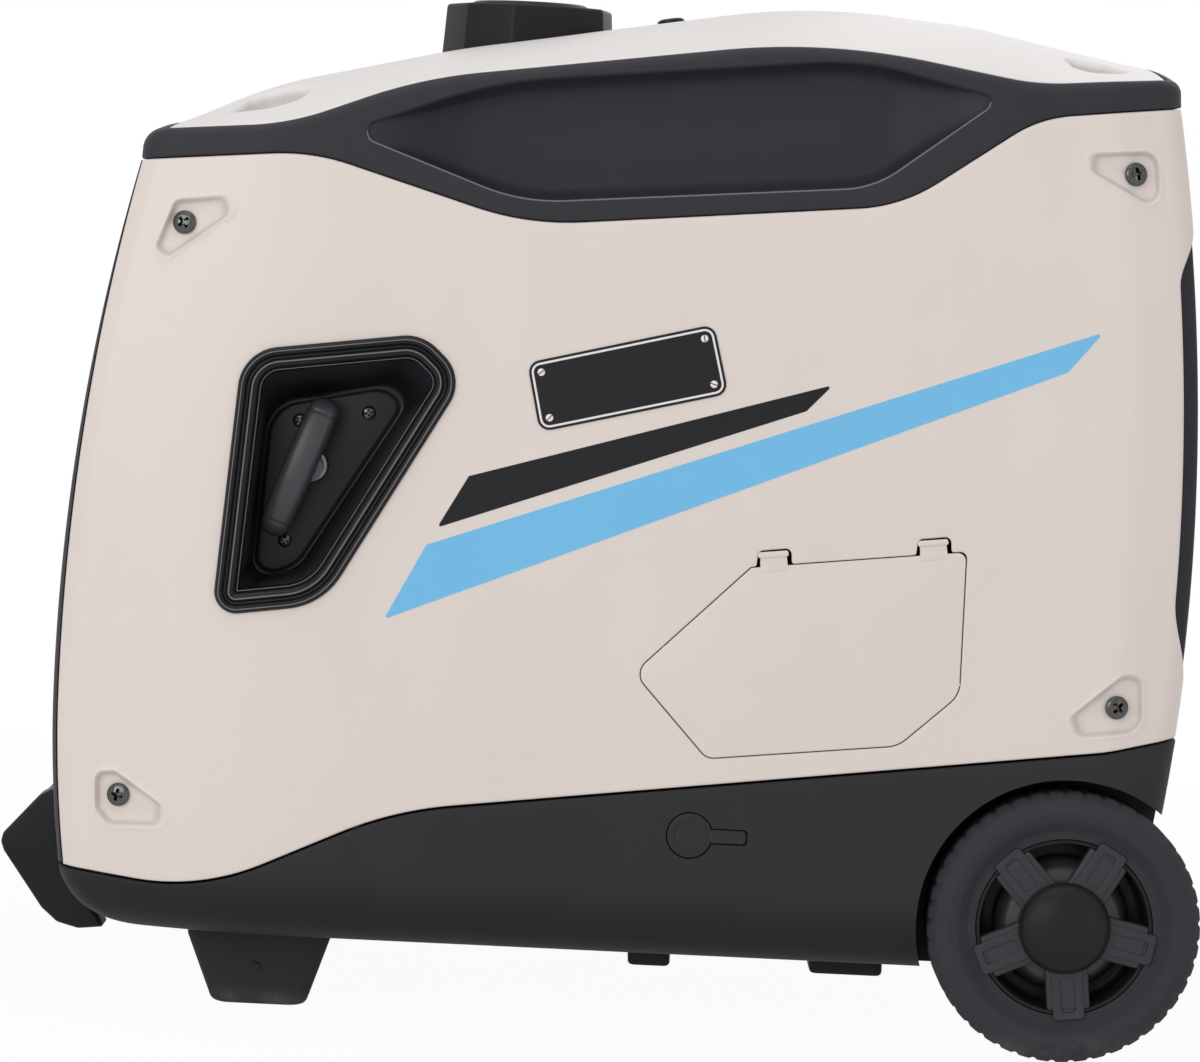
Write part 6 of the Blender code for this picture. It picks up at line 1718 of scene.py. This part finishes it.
def vent_knob():
    base = CAP_TOP + GAP
    corners = ((0, base), (KNOB_FOOT, base), (KNOB_RADIUS, KNOB_TOP), (0.024, KNOB_TOP),
               (0.0225, KNOB_TOP - 0.0008),
               (0, KNOB_TOP - 0.0008))
    radii = (0, 0.0003, 0.0010, 0.0006, 0.0006, 0)
    return Shape().lathe([tuple(p) for p in rounded(corners, radii, 5, closed=False)],
                         Matrix.Translation((CAP_X, 0, 0)), 144)


def fuel_gauge():
    slope = float(lid_height(GAUGE_X + 0.008, 0) - lid_height(GAUGE_X - 0.008, 0)) / 0.016
    place = aim((GAUGE_X, 0, float(lid_height(GAUGE_X, 0))), (-slope, 0, 1))
    r = GAUGE_RADIUS
    stem = GAUGE_STEM - GAP
    corners = ((0, -0.012), (stem, -0.012), (stem, -0.001), (r, -0.0006), (r, 0.0016), (r * 0.8, 0.0028),
               (0, 0.0031))
    radii = (0, 0.0005, 0.0005, 0.0005, 0.001, 0.004, 0)
    return Shape().lathe([tuple(p) for p in rounded(corners, radii, 5, closed=False, fill=2)], place, 80)


piece("fuel_cap_skin", fuel_cap(), black, "fuel_cap", ["fuel_cap"])
piece("vent_knob_skin", vent_knob(), black, "cap_vent_knob", ["cap_vent_knob"])
piece("fuel_gauge_skin", fuel_gauge(), gloss_black, nodes=["fuel_gauge"])

# ---------------------------------------------------------------- front panel and controls

FASCIA_OUT = Vector((-math.cos(FASCIA_LEAN), 0, math.sin(FASCIA_LEAN)))
FASCIA_UP = Vector((math.sin(FASCIA_LEAN), 0, math.cos(FASCIA_LEAN)))
FASCIA_CENTRE = Vector((float(front_x(FASCIA_Z)), 0, FASCIA_Z))


def fascia_at(u, v, out):
    """A place on the sloping fascia: u along Y, v up the slope, out of the face."""
    return FASCIA_CENTRE + Vector((0, u, 0)) + FASCIA_UP * v + FASCIA_OUT * out


def rectangle(u, v, half_u, half_v):
    return [(u - half_u, v - half_v), (u + half_u, v - half_v), (u + half_u, v + half_v),
            (u - half_u, v + half_v)]


def fascia_plate(corners, radius, low, high, edge, steps=6):
    """A flat-faced plate on the fascia with a rounded upper edge."""
    shape = Shape()
    radii = [radius] * len(corners)
    loops = [[fascia_at(u, v, low) for u, v in outline_of(corners, radii, 0.0, steps, 4)]]
    for d, depth in roll(edge, 4)[::-1]:
        loops.append([fascia_at(u, v, high - depth) for u, v in outline_of(corners, radii, d, steps, 4)])
    return shape.loft(loops)


def fascia_cut(corners, radius, low, high=0.03):
    return Shape().loft([[fascia_at(u, v, out) for u,
                          v in outline_of(corners, [radius] * len(corners), 0.0, 5)] for out in (low, high)])


def fascia_turned(u, v, profile, steps=72, radius_at=None):
    return Shape().lathe(profile, aim(fascia_at(u, v, 0), FASCIA_OUT), steps, radius_at)


def front_section(z):
    """Closed section of the front panel at one height: round both corners and back along the inside."""
    first, edge = float(front_x(z)), float(panel_front(z)) - SEAM
    turns = np.linspace(math.acos(1 - (edge - first) / CORNER_RADIUS), 0, 8)
    arc = first + CORNER_RADIUS * (1 - np.cos(turns))
    width = half_width(arc, z)
    near = np.stack([arc, -width], 1)
    across = np.linspace(-width[-1], width[-1], 42)[1:-1]
    face = np.stack([np.full(40, first), across], 1)
    outer = np.concatenate([near, face, near[::-1] * np.array([1, -1])])
    inner = outer.copy()
    inner[:, 0] = np.maximum(outer[:, 0], first + WALL)
    inner[:, 1] = np.clip(outer[:, 1], -(width[-1] + 0.001), width[-1] + 0.001)
    inner[0] = (edge, -(width[0] - 0.0028))
    inner[-1] = (edge, width[0] - 0.0028)
    return [(x, y, z) for x, y in np.concatenate([outer, inner[::-1]])]


def front_panel():
    low = float(height(BASE_LINE, FRONT_X)) + SEAM
    high = float(height(LOW_LINE, front_x(LOW_LINE[1][0]))) - SEAM
    loops = [front_section(z) for z in np.linspace(low, high, 60)]
    window = fascia_cut(rectangle(0, 0, FASCIA_HALF[0] + 0.0005, FASCIA_HALF[1] + 0.0005), 0.004, -0.03)
    return carved("front_panel_skin", Shape().loft(loops), ("DIFFERENCE", window))


piece("front_panel_skin", front_panel(), charcoal, nodes=["front_panel"])

DISPLAY = (-0.085, 0.050)
DUPLEX = (0.015, -0.018)
TWIST = (0.095, -0.022)
ENGINE_KNOB = (-0.092, -0.040)
ECO_ROCKER = (-0.028, 0.060)
BREAKERS = ((0.062, 0.052), (0.095, 0.052))


def control_fascia():
    """Fascia plate with a raised rim, and pockets for the controls that move."""
    half_u, half_v = FASCIA_HALF
    shape = Shape()
    corners = rectangle(0, 0, half_u, half_v)
    loops = []
    for margin, out in ((-0.0045, FASCIA_BACK), (-0.0045, FASCIA_BACK + 0.0035), (0.0, FASCIA_BACK + 0.0035)):
        loops.append([fascia_at(u, v, out) for u, v in outline_of(corners, [0.004] * 4, margin, 6, 10)])
    for d, depth in roll(0.0014, 4)[::-1]:
        loops.append([fascia_at(u, v, -0.0008 - depth) for u,
                      v in outline_of(corners, [0.004] * 4, d, 6, 10)])
    for d, out in ((FASCIA_RIM - 0.0026, -0.0008), (FASCIA_RIM - 0.0018, -0.0012),
                   (FASCIA_RIM - 0.0008, -0.0032),
                   (FASCIA_RIM, FASCIA_FACE + 0.0006), (FASCIA_RIM + 0.0008, FASCIA_FACE)):
        loops.append([fascia_at(u, v, out) for u, v in outline_of(corners, [0.006] * 4, d, 6, 10)])
    shape.loft(loops)
    face = FASCIA_FACE
    cuts = [fascia_turned(*ENGINE_KNOB,
                          [(0, face - 0.0055), (0.0063, face - 0.0055), (0.0063, 0.01), (0, 0.01)], 48),
            fascia_cut(rectangle(*ECO_ROCKER, 0.0112, 0.0075), 0.001, face - 0.0062, 0.01)]
    for place in BREAKERS:
        cuts.append(fascia_turned(*place,
                                  [(0, face - 0.006), (0.006, face - 0.006), (0.006, 0.01), (0, 0.01)], 48))
    return carved("control_fascia_skin", shape, *[("DIFFERENCE", cut) for cut in cuts])


def display_surround():
    corners = rectangle(*DISPLAY, 0.0445, 0.0265)
    shape = fascia_plate(corners, 0.005, FASCIA_FACE - 0.0004, FASCIA_FACE + 0.0035, 0.0012)
    hole = fascia_cut(rectangle(*DISPLAY, 0.0385, 0.0205), 0.003, FASCIA_FACE - 0.002)
    return carved("display_surround", shape, ("DIFFERENCE", hole))


def duplex_outlet():
    """Duplex outlet: a cover plate and two round-sided faces with blade and earth slots."""
    u, v = DUPLEX
    face = FASCIA_FACE
    plate = fascia_plate(rectangle(u, v, 0.034, 0.052), 0.004, face - 0.0004, face + 0.0040, 0.0014)
    faces = Shape()
    cuts = []
    for middle in (-0.041, 0.005):
        corners = [(u - 0.0168, middle - 0.0105), (u + 0.0168, middle - 0.0105),
                   (u + 0.0168, middle + 0.0105), (u - 0.0168, middle + 0.0105)]
        faces.add(fascia_plate(corners, 0.0095, face + 0.0030, face + 0.0056, 0.0008, 8))
        for du, tall in ((-0.0065, 0.0042), (0.0065, 0.0035)):
            cuts.append(fascia_cut(rectangle(u + du, middle + 0.001, 0.0011, tall), 0.0003, face + 0.0012))
        cuts.append(fascia_cut([(u - 0.0024, middle - 0.0092), (u + 0.0024, middle - 0.0092),
                                (u + 0.0024, middle - 0.0052), (u - 0.0024, middle - 0.0052)], 0.0018,
                                face + 0.0012))
    plate_cuts = [("DIFFERENCE", cut) for cut in cuts]
    return carved("outlet_plate", plate, *plate_cuts), carved("outlet_faces", faces, *plate_cuts)


def twist_outlet():
    """Round locking outlet with four curved slots round a centre boss."""
    face = FASCIA_FACE
    rim = 0.027
    corners = ((0, face), (rim, face), (rim, face + 0.005), (rim - 0.0035, face + 0.0085),
               (rim - 0.0065, face + 0.0085), (rim - 0.009, face + 0.003),
               (0.0055, face + 0.003), (0.0050, face + 0.0046), (0, face + 0.0048))
    radii = (0, 0.0006, 0.0012, 0.0015, 0.0012, 0.0012, 0.0006, 0.0012, 0)
    body = fascia_turned(*TWIST, [tuple(p) for p in rounded(corners, radii, 5, closed=False)], 96)
    cuts = []
    for k in range(4):
        start = math.tau * k / 4 + 0.25
        turns = np.linspace(start, start + 0.75, 8)
        ring = [(TWIST[0] + 0.0098 * math.cos(a), TWIST[1] + 0.0098 * math.sin(a)) for a in turns]
        ring += [(TWIST[0] + 0.0126 * math.cos(a), TWIST[1] + 0.0126 * math.sin(a)) for a in turns[::-1]]
        cuts.append(Shape().loft([[fascia_at(u, v, out) for u, v in ring] for out in (face + 0.0008, 0.03)]))
    return carved("twist_outlet_skin", body, *[("DIFFERENCE", cut) for cut in cuts])


def engine_knob():
    """Turning engine switch: a knurled disc with a raised bar."""
    face = FASCIA_FACE
    corners = ((0, face - 0.005), (0.006, face - 0.005), (0.006, face + 0.0006), (0.019, face + 0.0006),
               (0.0185, face + 0.0050),
               (0.0170, face + 0.006), (0, face + 0.006))
    profile = [tuple(p)
               for p in rounded(corners, (0, 0, 0, 0.0005, 0.001, 0.001, 0), 4, closed=False, fill=2)]

    def knurl(index, radius, out, turns):
        depth = 0.0005 if radius > 0.0182 else 0.0
        return radius - depth * (0.5 - 0.5 * np.cos(turns * 40))

    shape = fascia_turned(*ENGINE_KNOB, profile, 240, knurl)
    return shape.add(fascia_plate(rectangle(*ENGINE_KNOB, 0.0052, 0.0162), 0.0030, face + 0.005,
                                  face + 0.0115, 0.0016))


def breaker_button(place):
    face = FASCIA_FACE
    corners = ((0, face - 0.002), (0.0055, face - 0.002), (0.0055, face + 0.0042), (0.0045, face + 0.0045),
               (0, face + 0.0040))
    return fascia_turned(*place,
                         [tuple(p) for p in rounded(corners, (0, 0, 0.0010, 0.0006, 0), 5, closed=False)], 56)


def breaker_collar(place):
    face = FASCIA_FACE
    profile = [(0.0061, face - 0.001), (0.0088, face - 0.001), (0.0088, face + 0.0014),
               (0.0083, face + 0.0019), (0.0066, face + 0.0019), (0.0061, face + 0.0014)]
    return fascia_turned(*place, profile, 6 * 12)


def eco_rocker():
    face = FASCIA_FACE
    shape = fascia_plate(rectangle(*ECO_ROCKER, 0.0095, 0.0065), 0.0012, face - 0.004, face + 0.0032, 0.0010)
    ridge = fascia_plate(rectangle(ECO_ROCKER[0] - 0.005, ECO_ROCKER[1], 0.0006, 0.0035), 0.0005,
                         face + 0.002, face + 0.0038, 0.0004)
    return shape.add(ridge)


outlet_plate, outlet_faces = duplex_outlet()
piece("control_fascia_skin", control_fascia(), black, nodes=["control_fascia"])
piece("display_surround", display_surround(), grey)
piece("display_glass",
      fascia_plate(rectangle(*DISPLAY, 0.0385, 0.0205), 0.003, FASCIA_FACE, FASCIA_FACE + 0.0024, 0.0004),
      screen,
      nodes=["display_window"])
piece("outlet_plate", outlet_plate, grey, nodes=["duplex_outlet"])
piece("outlet_faces", outlet_faces, black)
piece("twist_outlet_skin", twist_outlet(), grey, nodes=["twist_outlet"])
piece("engine_knob_skin", engine_knob(), black, "engine_switch", ["engine_switch"])
piece("eco_rocker_skin", eco_rocker(), black, "eco_switch", ["eco_switch"])
for breaker_number, breaker_place in enumerate(BREAKERS, 1):
    breaker_name = f"breaker_button_{breaker_number}"
    piece(f"{breaker_name}_skin", breaker_button(breaker_place), red, breaker_name, [breaker_name])
    piece(f"breaker_collar_{breaker_number}", breaker_collar(breaker_place), steel)

# ---------------------------------------------------------------- rear panel


REAR_EDGE = 0.004


def rear_section(z):
    """Closed section of the rear panel at one height, with the flange that the side panels lie over."""
    last = float(rear_x(z))
    face = last - REAR_SUNK
    tuck = WALL + 0.0042
    flange = last - EDGE_REAR - float(scallop(z)) - 0.0075
    corner = float(half_width(face - REAR_EDGE, z)) - tuck
    lip = [(flange, float(half_width(flange, z)) - tuck)]
    lip += [(face - d, corner - depth) for d, depth in roll(REAR_EDGE, 7)]
    back = [(flange, lip[0][1] - WALL)]
    back += [(face - WALL - d, corner - WALL - depth) for d, depth in roll(REAR_EDGE - 0.0008, 7)]
    outer = [(x, -y) for x, y in lip] + [(face, y) for y in np.linspace(-lip[-1][1], lip[-1][1], 42)[1:-1]]
    inner = [(x, -y) for x, y in back] + [(face - WALL, y)
                                          for y in np.linspace(-back[-1][1], back[-1][1], 42)[1:-1]]
    section = outer + lip[::-1] + back + [(x, y) for x, y in inner[::-1]]
    return [(x, y, z) for x, y in section]


def rear_panel():
    low = float(height(BASE_LINE, REAR_X)) + SEAM
    high = float(height(LOW_LINE, rear_x(LOW_LINE[1][-1]) - 0.012)) - SEAM
    body = Shape().loft([rear_section(z) for z in np.linspace(low, high, 60)])
    slots = Shape()
    for k in range(REAR_SLOTS):
        z = REAR_SLOT_LOW + REAR_SLOT_PITCH * k
        corners = rectangle(0, z + REAR_SLOT_TALL / 2, REAR_SLOT_HALF, REAR_SLOT_TALL / 2)
        slots.loft([[(x, y, pz) for y, pz in outline_of(corners, [0.0035] * 4, 0.0, 6)]
                    for x in (0.25, 0.33)])
    y, z = TAILPIPE
    pipe = Shape().lathe([(0, 0.25), (TAILPIPE_RADIUS + 0.0005, 0.25), (TAILPIPE_RADIUS + 0.0005, 0.34),
                          (0, 0.34)], aim((0, y, z), (1, 0, 0)), 64)
    return carved("rear_panel_skin", body, ("DIFFERENCE", slots), ("DIFFERENCE", pipe))


piece("rear_panel_skin", rear_panel(), charcoal, nodes=["rear_panel"])

# ---------------------------------------------------------------- finishes of the parts inside

INSIDE = {
    steel: ("axle", "pull_tube_near", "pull_tube_far", "crankshaft", "flywheel_rotor", "muffler"),
    alloy: ("crankcase", "cylinder", "cylinder_head", "carburettor", "inverter_module"),
    copper: ("stator",),
    black: ("fuel_tank", "recoil_housing", "air_cleaner", "battery", "tube_guide_near", "tube_guide_far"),
    grey: ("recoil_pulley",),
}
for inside_finish, inside_names in INSIDE.items():
    for inside_name in inside_names:
        inside_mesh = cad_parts[inside_name].data
        inside_mesh.materials.clear()
        inside_mesh.materials.append(inside_finish)

# ---------------------------------------------------------------- floor, light and camera


def white_for_camera(tree):
    """A factor that is 1 for rays from the camera or through clear pieces, and 0.5 for all others."""
    path = tree.nodes.new("ShaderNodeLightPath")
    seen = tree.nodes.new("ShaderNodeMath")
    seen.operation = "MAXIMUM"
    tree.links.new(path.outputs["Is Camera Ray"], seen.inputs[0])
    clear = tree.nodes.new("ShaderNodeMath")
    clear.operation = "MAXIMUM"
    tree.links.new(path.outputs["Is Transmission Ray"], clear.inputs[0])
    tree.links.new(seen.outputs[0], clear.inputs[1])
    return clear.outputs[0]


def studio_floor():
    """A pale floor that runs on past the picture and keeps the object's shadow."""
    bpy.ops.mesh.primitive_plane_add(size=60)
    floor = bpy.context.object
    floor.name = "studio_floor"
    material = bpy.data.materials.new("pale_floor")
    material.use_nodes = True
    tree = material.node_tree
    tree.nodes.clear()
    painted = tree.nodes.new("ShaderNodeBsdfDiffuse")
    painted.inputs["Color"].default_value = (0.62, 0.62, 0.62, 1)
    shining = tree.nodes.new("ShaderNodeEmission")
    shining.inputs["Color"].default_value = (1, 1, 1, 1)
    shining.inputs["Strength"].default_value = 1.0
    place = tree.nodes.new("ShaderNodeTexCoord")
    away = tree.nodes.new("ShaderNodeVectorMath")
    away.operation = "LENGTH"
    tree.links.new(place.outputs["Object"], away.inputs[0])
    share = tree.nodes.new("ShaderNodeMapRange")
    share.interpolation_type = "SMOOTHSTEP"
    for key, value in (("From Min", 0.5), ("From Max", 1.4), ("To Min", 0.955), ("To Max", 1.0)):
        share.inputs[key].default_value = value
    tree.links.new(away.outputs["Value"], share.inputs["Value"])
    seen = tree.nodes.new("ShaderNodeMath")
    seen.operation = "MULTIPLY"
    tree.links.new(share.outputs[0], seen.inputs[1])
    tree.links.new(white_for_camera(tree), seen.inputs[0])
    mixed = tree.nodes.new("ShaderNodeMixShader")
    tree.links.new(seen.outputs[0], mixed.inputs[0])
    tree.links.new(painted.outputs[0], mixed.inputs[1])
    tree.links.new(shining.outputs[0], mixed.inputs[2])
    output = tree.nodes.new("ShaderNodeOutputMaterial")
    tree.links.new(mixed.outputs[0], output.inputs["Surface"])
    floor.data.materials.append(material)


def studio_world():
    """An even soft surround, white where the camera sees it."""
    world = bpy.data.worlds.new("studio")
    bpy.context.scene.world = world
    world.use_nodes = True
    tree = world.node_tree
    background = tree.nodes["Background"]
    background.inputs["Color"].default_value = (1, 1, 1, 1)
    level = tree.nodes.new("ShaderNodeMapRange")
    level.inputs["To Min"].default_value = 0.40
    level.inputs["To Max"].default_value = 1.0
    tree.links.new(white_for_camera(tree), level.inputs["Value"])
    tree.links.new(level.outputs[0], background.inputs["Strength"])


def soft_lamp(name, place, target, size, power):
    data = bpy.data.lights.new(name, "AREA")
    data.shape = "RECTANGLE"
    data.size, data.size_y = size
    data.energy = power
    lamp = bpy.data.objects.new(name, data)
    lamp.location = place
    lamp.rotation_euler = (Vector(target) - Vector(place)).to_track_quat("-Z", "Y").to_euler()
    bpy.context.scene.collection.objects.link(lamp)


CAMERA_TARGET = Vector((-0.004, -0.205, 0.262))
CAMERA_DISTANCE = 2.4
CAMERA_DOWN = math.radians(3.5)
CAMERA_ROLL = math.radians(2.7)
CAMERA_LENS = 141.2


def photo_camera():
    """The photograph's viewpoint: square to the starter side, a little above, and slightly rolled."""
    data = bpy.data.cameras.new("photo_camera")
    data.lens = CAMERA_LENS
    data.sensor_width = 36
    camera = bpy.data.objects.new("photo_camera", data)
    forward = Vector((0, math.cos(CAMERA_DOWN), -math.sin(CAMERA_DOWN)))
    right, up = Vector((1, 0, 0)), Vector((0, math.sin(CAMERA_DOWN), math.cos(CAMERA_DOWN)))
    across = right * math.cos(CAMERA_ROLL) + up * math.sin(CAMERA_ROLL)
    upright = up * math.cos(CAMERA_ROLL) - right * math.sin(CAMERA_ROLL)
    turn = Matrix((across, upright, -forward)).transposed()
    camera.matrix_world = Matrix.Translation(CAMERA_TARGET - forward * CAMERA_DISTANCE) @ turn.to_4x4()
    bpy.context.scene.collection.objects.link(camera)
    bpy.context.scene.camera = camera


studio_floor()
studio_world()
soft_lamp("front_softbox", (-1.4, -2.6, 1.2), (0, 0, 0.25), (2.2, 1.6), 20)
soft_lamp("top_softbox", (-0.4, -0.5, 2.6), (0, 0, 0.3), (2.4, 2.0), 14)
soft_lamp("rear_softbox", (1.2, 2.4, 1.6), (0, 0, 0.25), (2.2, 1.6), 7)
soft_lamp("left_strip", (-1.9, -1.9, 0.45), (0, 0, 0.25), (0.06, 1.2), 2.0)
soft_lamp("right_strip", (1.8, -2.0, 0.6), (0, 0, 0.25), (0.06, 1.2), 1.6)
photo_camera()
bpy.context.scene.view_settings.view_transform = "Standard"
